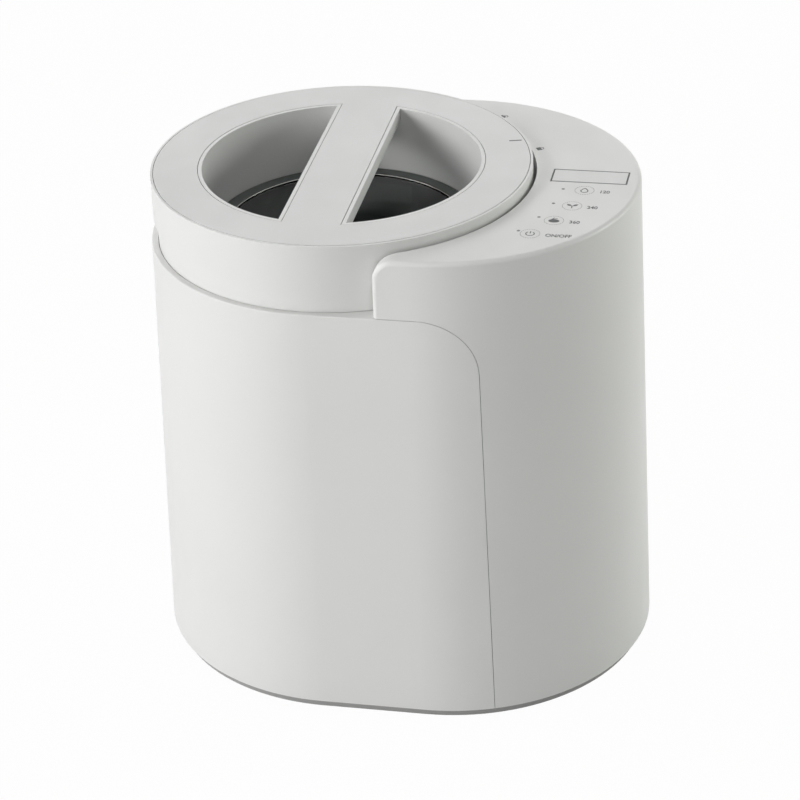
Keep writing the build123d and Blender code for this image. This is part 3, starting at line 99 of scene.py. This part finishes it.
def direct_rays(tree):
    """One for rays from the camera, a reflection or a clear pane, nought for light that falls on things."""
    ray = tree.nodes.new("ShaderNodeLightPath")
    found = ray.outputs["Is Camera Ray"]
    for kind in ("Is Glossy Ray", "Is Transmission Ray"):
        either = tree.nodes.new("ShaderNodeMath")
        either.operation = "MAXIMUM"
        linked(tree, found, either.inputs[0])
        linked(tree, ray.outputs[kind], either.inputs[1])
        found = either.outputs[0]
    return found


sheet = bmesh.new()
bmesh.ops.create_grid(sheet, x_segments=2, y_segments=2, size=table_half_width)
table = as_object("table", sheet)

white_table, tree, output = new_material("white_table")
cloth = tree.nodes.new("ShaderNodeBsdfDiffuse")
cloth.inputs["Color"].default_value = (table_grey, table_grey, table_grey, 1.0)
glow = tree.nodes.new("ShaderNodeEmission")
glow.inputs["Color"].default_value = (1.0, 1.0, 1.0, 1.0)
glow.inputs["Strength"].default_value = 1.0
share = tree.nodes.new("ShaderNodeMath")
share.operation = "MULTIPLY"
share.inputs[1].default_value = seen_white_share
linked(tree, direct_rays(tree), share.inputs[0])
blend = tree.nodes.new("ShaderNodeMixShader")
linked(tree, share.outputs[0], blend.inputs[0])
linked(tree, cloth.outputs[0], blend.inputs[1])
linked(tree, glow.outputs[0], blend.inputs[2])
linked(tree, blend.outputs[0], output.inputs["Surface"])
table.data.materials.append(white_table)

# ------------------------------------------------------------------ light
# Soft keys at the left and low at the front left, weaker lamps from the front, the right and behind, and one
# overhead that lifts the top. Those that reach the tower's shaded side are a little green. The room itself is
# almost dark, but the camera and every reflection see it white.
lamp_target = Vector((0, 0, 0.2))
lamp_reach, lamp_width = 2.6, 1.2
neutral, front_tint, side_tint = (1.0, 1.0, 1.0), (0.99, 1.0, 0.95), (0.98, 1.0, 0.95)

room = bpy.data.worlds.new("room")
bpy.context.scene.world = room
room.use_nodes = True
tree = room.node_tree
tree.nodes.clear()
output = tree.nodes.new("ShaderNodeOutputWorld")
room_light = tree.nodes.new("ShaderNodeBackground")
room_light.inputs["Color"].default_value = (0.97, 1.0, 0.95, 1.0)
room_light.inputs["Strength"].default_value = 0.01
white_wall = tree.nodes.new("ShaderNodeBackground")
white_wall.inputs["Color"].default_value = (1.0, 1.0, 1.0, 1.0)
white_wall.inputs["Strength"].default_value = 1.0
blend = tree.nodes.new("ShaderNodeMixShader")
linked(tree, direct_rays(tree), blend.inputs[0])
linked(tree, room_light.outputs[0], blend.inputs[1])
linked(tree, white_wall.outputs[0], blend.inputs[2])
linked(tree, blend.outputs[0], output.inputs["Surface"])


def softbox(name, bearing, rise, watts, tint=neutral):
    """A square lamp that faces the object's middle: bearing from +X and rise from the table in degrees."""
    turned, raised = radians(bearing), radians(rise)
    away = Vector((cos(turned) * cos(raised), sin(turned) * cos(raised), sin(raised)))
    lamp = bpy.data.objects.new(name, bpy.data.lights.new(name, "AREA"))
    lamp.data.shape = "SQUARE"
    lamp.data.size = lamp_width
    lamp.data.energy = watts
    lamp.data.color = tint
    lamp.location = lamp_target + lamp_reach * away
    lamp.rotation_euler = away.to_track_quat("Z", "Y").to_euler()
    bpy.context.scene.collection.objects.link(lamp)


softbox("left_key", -160, 30, 25)
softbox("front_key", -125, 10, 31)
softbox("front_fill", -75, 25, 6.5, front_tint)
softbox("right_fill", 20, 12, 33, side_tint)
softbox("back_left_fill", 120, 35, 7)
softbox("back_fill", 90, 18, 7)
softbox("overhead", 90, 85, 18)


# ------------------------------------------------------------------ looks that several groups share
# Patterns on an object's own coordinates, ways to combine them, and the plastic that they make up.
def group_with(name, inputs, outputs):
    """A shader node group with number inputs and number outputs."""
    group = bpy.data.node_groups.new(name, "ShaderNodeTree")
    for label, value in inputs:
        socket = group.interface.new_socket(label, in_out="INPUT", socket_type="NodeSocketFloat")
        socket.default_value = value
    for label in outputs:
        group.interface.new_socket(label, in_out="OUTPUT", socket_type="NodeSocketFloat")
    return group, group.nodes.new("NodeGroupInput"), group.nodes.new("NodeGroupOutput")


def noise(tree, scale, detail=2.0, stretch=(1, 1, 1)):
    """Noise that sits on the object's own coordinates, with a scale per metre."""
    place = tree.nodes.new("ShaderNodeTexCoord")
    mapping = tree.nodes.new("ShaderNodeMapping")
    mapping.inputs["Scale"].default_value = stretch
    texture = tree.nodes.new("ShaderNodeTexNoise")
    texture.inputs["Scale"].default_value = scale
    texture.inputs["Detail"].default_value = detail
    linked(tree, place.outputs["Object"], mapping.inputs["Vector"])
    linked(tree, mapping.outputs["Vector"], texture.inputs["Vector"])
    return texture.outputs["Fac"]


def cells(tree, scale, feature="F1"):
    """Cell pattern on the object's own coordinates, with a scale per metre."""
    place = tree.nodes.new("ShaderNodeTexCoord")
    texture = tree.nodes.new("ShaderNodeTexVoronoi")
    texture.feature = feature
    texture.inputs["Scale"].default_value = scale
    linked(tree, place.outputs["Object"], texture.inputs["Vector"])
    return texture.outputs["Distance"]


def mapped(tree, value, low, high, start=0.0, end=1.0):
    """A value moved from one range to another."""
    ramp = tree.nodes.new("ShaderNodeMapRange")
    ramp.inputs["From Min"].default_value = start
    ramp.inputs["From Max"].default_value = end
    ramp.inputs["To Min"].default_value = low
    ramp.inputs["To Max"].default_value = high
    linked(tree, value, ramp.inputs["Value"])
    return ramp.outputs["Result"]


def worked(tree, operation, first, second):
    """Arithmetic on a value with a number or with another value."""
    node = tree.nodes.new("ShaderNodeMath")
    node.operation = operation
    linked(tree, first, node.inputs[0])
    if isinstance(second, float):
        node.inputs[1].default_value = second
    else:
        linked(tree, second, node.inputs[1])
    return node.outputs[0]


# Spark-eroded mould grain: fine pits about a quarter of a millimetre across, with slow changes in gloss and
# tone where the plastic cooled at different speeds.
mould_grain, given, result = group_with("mould_grain", (("Grain", 1.0),), ("Height", "Gloss", "Tone"))
pits = worked(mould_grain, "MULTIPLY", noise(mould_grain, 4200.0, 1.0), given.outputs["Grain"])
linked(mould_grain, pits, result.inputs["Height"])
flow = noise(mould_grain, 9.0, 3.0)
linked(mould_grain, mapped(mould_grain, flow, -0.04, 0.04, 0.3, 0.7), result.inputs["Gloss"])
linked(mould_grain, mapped(mould_grain, flow, 0.0, 1.0, 0.3, 0.7), result.inputs["Tone"])

# Dust and painted shade: a faint film of dust that gathers on faces that look up, broken up by wiping, and
# painted shade in the joints between pieces, an occlusion mask that darkens the colour in the gaps.
handling, given, result = group_with("handling", (("Dust", 0.2),), ("Film", "Smear", "GapShade"))
facing = handling.nodes.new("ShaderNodeNewGeometry")
parts = handling.nodes.new("ShaderNodeSeparateXYZ")
linked(handling, facing.outputs["Normal"], parts.inputs[0])
upward = mapped(handling, parts.outputs["Z"], 0.0, 1.0, 0.2, 1.0)
patches = mapped(handling, noise(handling, 38.0, 5.0), 0.0, 1.0, 0.42, 0.7)
film = worked(handling, "MULTIPLY", worked(handling, "MULTIPLY", upward, patches), given.outputs["Dust"])
linked(handling, film, result.inputs["Film"])
smear = mapped(handling, noise(handling, 60.0, 4.0, (1, 1, 0.35)), -0.05, 0.05, 0.3, 0.7)
linked(handling, smear, result.inputs["Smear"])
joint_reach = 0.0025
# Painted shade: ambient occlusion over a few millimetres marks the gaps between pieces, to darken the colour
# there.
gap_occlusion = handling.nodes.new("ShaderNodeAmbientOcclusion")
gap_occlusion.samples = 8
gap_occlusion.inputs["Distance"].default_value = joint_reach
linked(handling, mapped(handling, gap_occlusion.outputs["AO"], 1.0, 0.0, 0.05, 0.5), result.inputs["GapShade"])


def placed(tree, group, **values):
    """One use of a node group, with its own numbers."""
    node = tree.nodes.new("ShaderNodeGroup")
    node.node_tree = group
    for label, value in values.items():
        node.inputs[label].default_value = value
    return node


def two_tones(tree, factor, first, second):
    """A colour between two, by a factor that changes over the surface; first may be another colour."""
    mix = tree.nodes.new("ShaderNodeMix")
    mix.data_type = "RGBA"
    if isinstance(first, tuple):
        mix.inputs[6].default_value = (*first, 1.0)
    else:
        linked(tree, first, mix.inputs[6])
    mix.inputs[7].default_value = (*second, 1.0)
    linked(tree, factor, mix.inputs[0])
    return mix.outputs[2]


def embossed(tree, height, distance, strength=1.0):
    """The normal of a surface with a height pattern on it."""
    bump = tree.nodes.new("ShaderNodeBump")
    bump.inputs["Distance"].default_value = distance
    bump.inputs["Strength"].default_value = strength
    linked(tree, height, bump.inputs["Height"])
    return bump.outputs["Normal"]


# The dust colour, the share of the dark tone that the painted shade in the joints goes down to, and the grain
# depth.
dust_tone, gap_shade_share, grain_depth = (0.50, 0.49, 0.47), 0.22, 0.00004


def moulded_plastic(name, light, dark, roughness, grain=1.0, dust=0.2):
    """Moulded plastic: two close tones, mould grain, uneven gloss, some dust and painted shade in the joints.
    """
    material, tree, surface = new_surface(name)
    texture = placed(tree, mould_grain, Grain=grain)
    dust_and_shade = placed(tree, handling, Dust=dust)
    tone = two_tones(tree, texture.outputs["Tone"], light, dark)
    tone = two_tones(tree, dust_and_shade.outputs["Film"], tone, dust_tone)
    # Painted shade: the colour darkens in the gaps between pieces, where shadow falls.
    tone = two_tones(tree, dust_and_shade.outputs["GapShade"], tone, tuple(gap_shade_share * part for part in dark))
    linked(tree, tone, surface.inputs["Base Color"])
    gloss = worked(tree, "ADD", texture.outputs["Gloss"], dust_and_shade.outputs["Smear"])
    linked(tree, worked(tree, "ADD", gloss, roughness), surface.inputs["Roughness"])
    linked(tree, embossed(tree, texture.outputs["Height"], grain_depth), surface.inputs["Normal"])
    return material


def finish(material, *names):
    """Give a material to the construction's own pieces."""
    for name in names:
        slots = nodes[name].data.materials
        slots.clear()
        slots.append(material)


# ------------------------------------------------------------------ shells
# The casing is injection-moulded white ABS: a wrap-round shell with the ledge and a tower shell with the
# control panel, both screwed to the base plate from below, and the collar that the lid stands over. The lid's
# body and the front of the filter drawer are of the same plastic.
white_abs = moulded_plastic("white_abs", (0.765, 0.765, 0.755), (0.75, 0.752, 0.742), 0.46, dust=0.03)
finish(white_abs, "wrap_shell", "tower_shell", "collar_ring", "filter_drawer", "lid_body")

# ------------------------------------------------------------------ lid
# The lid's inlay is a flat satin plate, a shade greyer than the body it is glued into, so that the lips of
# the body stay visible as white lines round it and along the bar.
grey_abs = moulded_plastic("grey_abs", (0.70, 0.70, 0.695), (0.685, 0.686, 0.68), 0.42, 0.6, dust=0.03)
finish(grey_abs, "lid_plate", "display_window")

# The liner that is screwed up under the lid is black glass-filled nylon. So are the bucket's grip frames and
# bush, the gearbox's case, the blower, the ducts, the filter bay and the mains inlet.
black_nylon = moulded_plastic("black_nylon", (0.034, 0.035, 0.036), (0.024, 0.025, 0.026), 0.5)
finish(black_nylon, "lid_liner", "bucket_grips", "bucket_bush", "gearbox_base", "gearbox_cover",
       "blower_housing", "blower_wheel", "exhaust_duct", "filter_duct", "filter_bay", "mains_inlet")

# The ring that lies on the window's edge is a dark grey-green moulding, glued to the pane.
bezel_grey = moulded_plastic("bezel_grey", (0.065, 0.075, 0.07), (0.055, 0.065, 0.06), 0.36, dust=0.0)
finish(bezel_grey, "window_bezel")


def silicone(name, light, dark):
    """Moulded silicone: soft sheen, faint flow marks and a little talc."""
    material, tree, surface = new_surface(name)
    surface.inputs["Sheen Weight"].default_value = 0.15
    linked(tree, two_tones(tree, noise(tree, 160.0, 4.0), light, dark), surface.inputs["Base Color"])
    linked(tree, mapped(tree, noise(tree, 90.0, 3.0), 0.55, 0.75), surface.inputs["Roughness"])
    linked(tree, embossed(tree, noise(tree, 2600.0, 2.0), 0.00003), surface.inputs["Normal"])
    return material


seal_silicone = silicone("seal_silicone", (0.30, 0.31, 0.31), (0.25, 0.26, 0.26))
finish(seal_silicone, "lid_seal", "shaft_seal")

# ------------------------------------------------------------------ window
# A tempered smoked pane, polished, with a breath of condensation here and there. The liner carries it in the
# floor of the bowl.
smoked_glass, tree, surface = new_surface("smoked_glass")
surface.inputs["Transmission Weight"].default_value = 1.0
surface.inputs["IOR"].default_value = 1.5
surface.inputs["Coat Weight"].default_value = 0.3
surface.inputs["Coat IOR"].default_value = 1.7
linked(tree, two_tones(tree, noise(tree, 30.0, 3.0), (0.085, 0.155, 0.155), (0.07, 0.135, 0.135)),
       surface.inputs["Base Color"])
linked(tree, mapped(tree, noise(tree, 55.0, 5.0), 0.02, 0.06, 0.4, 0.7), surface.inputs["Roughness"])
finish(smoked_glass, "window_glass")

# A fine ring of polished wire lies in the corner between the pane and the bezel's inner edge, and shows as a
# thin light line round the window.
lid_low, lid_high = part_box("lid_body")
lid_axis = (lid_low.x + lid_high.x) / 2
wire_r, wire_gap = 0.00035, 0.0001
wire_sides, wire_steps = 10, 180
bezel_points = [vert.co for vert in nodes["window_bezel"].data.vertices]
ring_r = min(hypot(point.x - lid_axis, point.y) for point in bezel_points) - wire_r - wire_gap
ring_z = max(point.z for point in bezel_points) - 2 * wire_r
ring = bmesh.new()
upright = Matrix.Rotation(pi / 2, 4, "X")
section = bmesh.ops.create_circle(ring, segments=wire_sides, radius=wire_r, matrix=upright)["verts"]
bmesh.ops.translate(ring, vec=(lid_axis + ring_r, 0, ring_z), verts=section)
bmesh.ops.spin(ring, geom=section + ring.edges[:], cent=(lid_axis, 0, 0), axis=(0, 0, 1), angle=2 * pi,
               steps=wire_steps, use_merge=True)
bmesh.ops.remove_doubles(ring, verts=ring.verts, dist=0.00001)
bmesh.ops.recalc_face_normals(ring, faces=ring.faces)
for face in ring.faces:
    face.smooth = True
window_trim = as_object("window_trim", ring)
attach(window_trim, "lid")


# ------------------------------------------------------------------ bucket
# A drawn aluminium bucket with a speckled grey non-stick coating, and black nylon frames in its finger slots.
# It hangs by its rim in the heated chamber and is lifted out by the slots.
def speckled_coating(name, ground, speck):
    """Sprayed non-stick coating: fine light specks in a satin ground, slightly uneven."""
    material, tree, surface = new_surface(name)
    surface.inputs["Metallic"].default_value = 0.3
    specks = mapped(tree, cells(tree, 420.0), 1.0, 0.0, 0.08, 0.2)
    linked(tree, two_tones(tree, specks, ground, speck), surface.inputs["Base Color"])
    linked(tree, mapped(tree, noise(tree, 40.0, 4.0), 0.34, 0.48), surface.inputs["Roughness"])
    linked(tree, embossed(tree, noise(tree, 1500.0, 2.0), 0.00003), surface.inputs["Normal"])
    return material


bucket_coating = speckled_coating("bucket_coating", (0.085, 0.09, 0.092), (0.30, 0.31, 0.31))
finish(bucket_coating, "bucket")


# ------------------------------------------------------------------ agitator and other steel
# Turned, ground and blasted steel: the agitator, which its nut holds together, the drive shaft with its
# bearings, the idler's axle and the motor's pinion. The screws are zinc plated, and the lid's magnet and the
# wire round the window are nickel plated.
def worked_metal(name, light, dark, roughness, scale=900.0, stretch=(1, 1, 1), depth=0.00001):
    """Bare metal with tool marks: noise drawn out along the way the tool ran."""
    material, tree, surface = new_surface(name)
    surface.inputs["Metallic"].default_value = 1.0
    marks = noise(tree, scale, 3.0, stretch)
    linked(tree, two_tones(tree, mapped(tree, marks, 0.0, 1.0, 0.3, 0.7), light, dark),
           surface.inputs["Base Color"])
    polish = mapped(tree, noise(tree, 35.0, 4.0), -0.05, 0.07)
    wear = worked(tree, "ADD", mapped(tree, marks, -0.06, 0.06), polish)
    linked(tree, worked(tree, "ADD", wear, roughness), surface.inputs["Roughness"])
    linked(tree, embossed(tree, marks, depth), surface.inputs["Normal"])
    return material


along_z, drawn_up = (0.06, 0.06, 1.0), (1.0, 1.0, 0.04)
turned_steel = worked_metal("turned_steel", (0.58, 0.58, 0.57), (0.46, 0.46, 0.46), 0.28, 2400.0, along_z)
finish(turned_steel, "agitator_shaft", "agitator_dog", "agitator_nut", "drive_shaft", "idler_axle",
       "output_bearings", "motor_pinion")
blasted_steel = worked_metal("blasted_steel", (0.52, 0.52, 0.51), (0.40, 0.40, 0.40), 0.42, 1800.0,
                             depth=0.00003)
finish(blasted_steel, "agitator_arms")
zinc_plate = worked_metal("zinc_plate", (0.60, 0.60, 0.56), (0.50, 0.50, 0.50), 0.34, 1200.0)
finish(zinc_plate, "base_screws", "lid_screws")
nickel = worked_metal("nickel", (0.66, 0.65, 0.62), (0.60, 0.59, 0.57), 0.16, 1500.0)
finish(nickel, "lid_magnet")
window_trim.data.materials.append(nickel)

# ------------------------------------------------------------------ heated chamber
# A deep-drawn stainless pot, wrapped in mineral felt, on a cast aluminium heater plate with its element in a
# groove. An insulation disc carries them on the chassis deck, and the collar clamps the pot's flange.
drawn_steel = worked_metal("drawn_steel", (0.57, 0.57, 0.55), (0.45, 0.45, 0.44), 0.30, 1100.0, drawn_up)
finish(drawn_steel, "chamber_liner")
cast_aluminium = worked_metal("cast_aluminium", (0.56, 0.56, 0.55), (0.44, 0.44, 0.44), 0.50, 1300.0,
                              depth=0.0001)
finish(cast_aluminium, "heater_plate")
oxidised_tube = worked_metal("oxidised_tube", (0.24, 0.22, 0.21), (0.15, 0.16, 0.19), 0.45, 220.0)
finish(oxidised_tube, "heating_element")

felt, tree, surface = new_surface("mineral_felt")
surface.inputs["Roughness"].default_value = 0.95
surface.inputs["Sheen Weight"].default_value = 0.3
fibres = noise(tree, 700.0, 6.0, (1, 1, 2.5))
matted = mapped(tree, fibres, 0.0, 1.0, 0.3, 0.7)
linked(tree, two_tones(tree, matted, (0.70, 0.67, 0.58), (0.50, 0.47, 0.40)), surface.inputs["Base Color"])
linked(tree, embossed(tree, fibres, 0.0006), surface.inputs["Normal"])
finish(felt, "insulation_jacket", "insulation_pad")


# ------------------------------------------------------------------ chassis
# A pressed steel deck on four legs carries the chamber and the gearbox, and a steel shelf on three posts
# carries the blower. Both have a grey powder coat.
def sprayed_coat(name, light, dark, roughness):
    """Powder coat or lacquer with orange peel."""
    material, tree, surface = new_surface(name)
    peel = noise(tree, 900.0, 2.0)
    linked(tree, two_tones(tree, noise(tree, 25.0, 3.0), light, dark), surface.inputs["Base Color"])
    linked(tree, mapped(tree, peel, roughness - 0.05, roughness + 0.05), surface.inputs["Roughness"])
    linked(tree, embossed(tree, peel, 0.00006), surface.inputs["Normal"])
    return material


powder_grey = sprayed_coat("powder_grey", (0.28, 0.29, 0.30), (0.25, 0.26, 0.27), 0.45)
finish(powder_grey, "chassis_deck", "tower_shelf")

# ------------------------------------------------------------------ gears and motors
# Natural nylon gears, hobbed, with a film of grease, in the gearbox below the deck. The motors have dark
# plated cans: one hangs under the gearbox, the other stands on the blower's floor.
gear_nylon = moulded_plastic("gear_nylon", (0.72, 0.69, 0.60), (0.66, 0.63, 0.54), 0.34, dust=0.0)
finish(gear_nylon, "output_gear", "idler_gear")
motor_can = worked_metal("motor_can", (0.22, 0.22, 0.23), (0.17, 0.17, 0.18), 0.36, 1600.0, along_z)
finish(motor_can, "drive_motor", "blower_motor")

# ------------------------------------------------------------------ circuit boards
# Glass-fibre boards with green solder mask over copper tracks, and black moulded components. The control
# board hangs from four posts under the panel, with foam pads below the touch places and light pipes beside
# them. The power board stands against a rib of the base plate.
board_mask, tree, surface = new_surface("board_mask")
surface.inputs["Coat Weight"].default_value = 0.3
tracks = mapped(tree, cells(tree, 160.0, "DISTANCE_TO_EDGE"), 1.0, 0.0, 0.05, 0.08)
linked(tree, two_tones(tree, tracks, (0.012, 0.085, 0.040), (0.030, 0.170, 0.075)),
       surface.inputs["Base Color"])
linked(tree, mapped(tree, noise(tree, 70.0, 3.0), 0.26, 0.38), surface.inputs["Roughness"])
linked(tree, embossed(tree, tracks, 0.00003), surface.inputs["Normal"])
finish(board_mask, "control_board", "power_board")

epoxy = moulded_plastic("epoxy", (0.022, 0.022, 0.024), (0.016, 0.016, 0.017), 0.42, dust=0.1)
finish(epoxy, "thermostat", "display_module", "lid_switch", "power_parts")

foam = silicone("foam", (0.07, 0.07, 0.075), (0.035, 0.035, 0.038))
finish(foam, "touch_pads")

light_pipe = moulded_plastic("light_pipe", (0.14, 0.145, 0.145), (0.12, 0.125, 0.125), 0.2, 0.2, dust=0.0)
finish(light_pipe, "status_lights")

# ------------------------------------------------------------------ carbon filter
# Activated carbon granules pressed into a block. It lies loose in the filter drawer at the back, and is
# lifted out to change it.
granules, tree, surface = new_surface("granules")
grains = cells(tree, 380.0)
linked(tree, two_tones(tree, grains, (0.045, 0.045, 0.048), (0.008, 0.008, 0.009)),
       surface.inputs["Base Color"])
linked(tree, mapped(tree, noise(tree, 500.0, 3.0), 0.45, 0.9), surface.inputs["Roughness"])
linked(tree, embossed(tree, mapped(tree, grains, 1.0, 0.0), 0.0012), surface.inputs["Normal"])
finish(granules, "carbon_cartridge")

# ------------------------------------------------------------------ mains inlet pins
# Three flat pins of plated brass, moulded into the inlet at the back.
plated_brass = worked_metal("plated_brass", (0.72, 0.62, 0.40), (0.60, 0.52, 0.34), 0.24, 1500.0)
finish(plated_brass, "inlet_pins")

# ------------------------------------------------------------------ plinth and feet
# The plinth is a grey moulding that everything stands on; its screws go up into the bosses of the shells. The
# feet are rubber pads in its recesses.
plinth_grey = moulded_plastic("plinth_grey", (0.34, 0.34, 0.335), (0.32, 0.32, 0.315), 0.55)
finish(plinth_grey, "base_plate")
foot_rubber = silicone("foot_rubber", (0.035, 0.035, 0.036), (0.022, 0.022, 0.023))
finish(foot_rubber, "rubber_feet")


# ------------------------------------------------------------------ marks on the panel and the lid
# Dark grey pad print on the plastic: a dashed ring, a sign and a number at each touch place, the line round
# the display, a closed and an open padlock beside the lid, and the tick on the lid that points to them.
# These shapes are drawn in millimetres.
millimetre = 0.001
panel_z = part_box("tower_shell")[1].z / millimetre
lid_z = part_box("lid_plate")[1].z / millimetre
ink_thickness = 0.04
touch_places = ((102.8, -78.0), (115.1, -57.4), (123.6, -34.8), (128.4, -10.8))


def inked(name, flat, z, body):
    """Thicken flat shapes into ink, lay them on a face at a height, and let them move with a body."""
    bmesh.ops.remove_doubles(flat, verts=flat.verts, dist=0.0005)
    raised = bmesh.ops.extrude_face_region(flat, geom=flat.faces[:])["geom"]
    tops = [item for item in raised if isinstance(item, bmesh.types.BMVert)]
    bmesh.ops.translate(flat, vec=(0, 0, ink_thickness), verts=tops)
    bmesh.ops.translate(flat, vec=(0, 0, z), verts=flat.verts)
    bmesh.ops.scale(flat, vec=(millimetre,) * 3, verts=flat.verts)
    bmesh.ops.recalc_face_normals(flat, faces=flat.faces)
    piece = as_object(name, flat)
    piece.data.materials.append(print_ink)
    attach(piece, body)


def arc(flat, x, y, r, width, start=0.0, sweep=360.0, steps=48):
    """A curved line of ink round a point, from a bearing through an angle."""
    ends = [flat.verts.new((x + side * cos(radians(start)), y + side * sin(radians(start)), 0))
            for side in (r - width / 2, r + width / 2)]
    edge = flat.edges.new(ends)
    bmesh.ops.spin(flat, geom=ends + [edge], cent=(x, y, 0), axis=(0, 0, 1), angle=radians(sweep),
                   steps=steps, use_merge=sweep == 360.0)


def bar(flat, x, y, length, width, bearing=0.0):
    """A straight line of ink centred on a point."""
    turned = Matrix.Translation((x, y, 0)) @ Matrix.Rotation(radians(bearing), 4, "Z")
    bmesh.ops.create_grid(flat, x_segments=1, y_segments=1, size=0.5,
                          matrix=turned @ Matrix.Diagonal((length, width, 1, 1)))


def spot(flat, x, y, length, width, bearing=0.0, point=0.0):
    """An oval of ink; point draws one end, or with a negative value both ends, out to a tip."""
    turned = Matrix.Translation((x, y, 0)) @ Matrix.Rotation(radians(bearing), 4, "Z")
    shape = Matrix.Diagonal((length / 2, width / 2, 1, 1))
    made = bmesh.ops.create_circle(flat, cap_ends=True, segments=24, radius=1.0, matrix=Matrix.Identity(4))
    for vert in made["verts"]:
        if vert.co.x > 0 or point < 0:
            vert.co.y *= 1 - abs(point) * abs(vert.co.x) ** 1.5
    bmesh.ops.transform(flat, matrix=turned @ shape, verts=made["verts"])


capital_share, narrowing, boldness = 0.73, 0.84, 0.12


def lettered(flat, text, x, y, height):
    """A number or a plain word in narrow type, from its left end, centred in height."""
    curve = bpy.data.curves.new("lettering", "FONT")
    curve.body = text
    curve.size = height / capital_share
    curve.offset = boldness
    curve.align_x, curve.align_y = "LEFT", "CENTER"
    holder = bpy.data.objects.new("lettering", curve)
    mesh = bpy.data.meshes.new_from_object(holder)
    mesh.transform(Matrix.Translation((x, y, 0)) @ Matrix.Diagonal((narrowing, 1, 1, 1)))
    flat.from_mesh(mesh)
    bpy.data.objects.remove(holder)


def power_sign(flat, x, y):
    """Broken ring with an upright bar."""
    arc(flat, x, y, 2.7, 0.7, 125.0, 290.0, 32)
    bar(flat, x, y + 2.0, 0.7, 3.0)


def bowl_sign(flat, x, y):
    """Bowl with something heaped in it."""
    spot(flat, x, y - 0.6, 7.2, 4.6, 0.0)
    bar(flat, x, y + 2.3, 4.0, 0.6, 20.0)
    bar(flat, x - 0.8, y + 3.0, 2.6, 0.5, 60.0)


def sprout_sign(flat, x, y):
    """Stem with two leaves."""
    bar(flat, x, y - 1.5, 0.7, 3.8)
    spot(flat, x - 2.0, y + 1.1, 4.6, 2.2, 142.0, -0.9)
    spot(flat, x + 2.0, y + 1.1, 4.6, 2.2, 38.0, -0.9)


def drop_sign(flat, x, y):
    """Drop of water."""
    arc(flat, x, y - 0.8, 2.3, 0.7, 140.0, 260.0, 24)
    bar(flat, x - 1.0, y + 2.0, 3.4, 0.7, 56.0)
    bar(flat, x + 1.0, y + 2.0, 3.4, 0.7, -56.0)


print_ink = moulded_plastic("print_ink", (0.085, 0.088, 0.088), (0.075, 0.078, 0.078), 0.6, 0.2, dust=0.0)

marks = bmesh.new()
signs = (power_sign, bowl_sign, sprout_sign, drop_sign)
labels = ("ON/OFF", "360", "240", "120")
dashes, dash_r, dash_w, dash_share = 26, 6.25, 0.32, 5 / 9
label_start, label_drop, label_height = 9.8, 1.2, 4.0
for (x, y), sign, label in zip(touch_places, signs, labels):
    for dash in range(dashes):
        arc(marks, x, y, dash_r, dash_w, 360.0 * dash / dashes, 360.0 * dash_share / dashes, 2)
    sign(marks, x, y)
    lettered(marks, label, x + label_start, y - label_drop, label_height)
inked("panel_marks", marks, panel_z, "housing")

line_w = 0.75
low, high = (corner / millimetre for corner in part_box("display_window"))
middle, extent = (low + high) / 2, high - low
outline = bmesh.new()
for side in (-1, 1):
    bar(outline, middle.x, middle.y + side * (extent.y - line_w) / 2, extent.x, line_w)
    bar(outline, middle.x + side * (extent.x - line_w) / 2, middle.y, line_w, extent.y - 2 * line_w)
inked("display_outline", outline, panel_z, "housing")


def padlock(flat, x, y, bearing, open_by=0.0):
    """Padlock seen from above: body and shackle, the shackle swung aside when it is open."""
    turned = Matrix.Translation((x, y, 0)) @ Matrix.Rotation(radians(bearing), 4, "Z")
    lock = bmesh.new()
    bar(lock, 0, -0.9, 4.4, 3.2)
    arc(lock, open_by, 0.9, 1.45, 0.55, 0.0, 180.0, 12)
    for side in (-1, 1):
        bar(lock, open_by + side * 1.45, 0.8, 0.55, 0.7)
    bmesh.ops.transform(lock, matrix=turned, verts=lock.verts)
    mesh = bpy.data.meshes.new("padlock")
    lock.to_mesh(mesh)
    lock.free()
    flat.from_mesh(mesh)


shackle_shift = 1.2
locks = bmesh.new()
padlock(locks, 90.2, 50.6, -60.0)
padlock(locks, 57.3, 100.6, -38.0, shackle_shift)
inked("lock_marks", locks, panel_z, "housing")

tick_bearing, tick_r, tick_length, tick_w, tick_turn = radians(23.0), 118.8, 8.4, 1.2, 14.0
tick = bmesh.new()
bar(tick, lid_axis / millimetre + tick_r * cos(tick_bearing), tick_r * sin(tick_bearing),
    tick_length, tick_w, tick_turn)
inked("lid_mark", tick, lid_z, "lid")
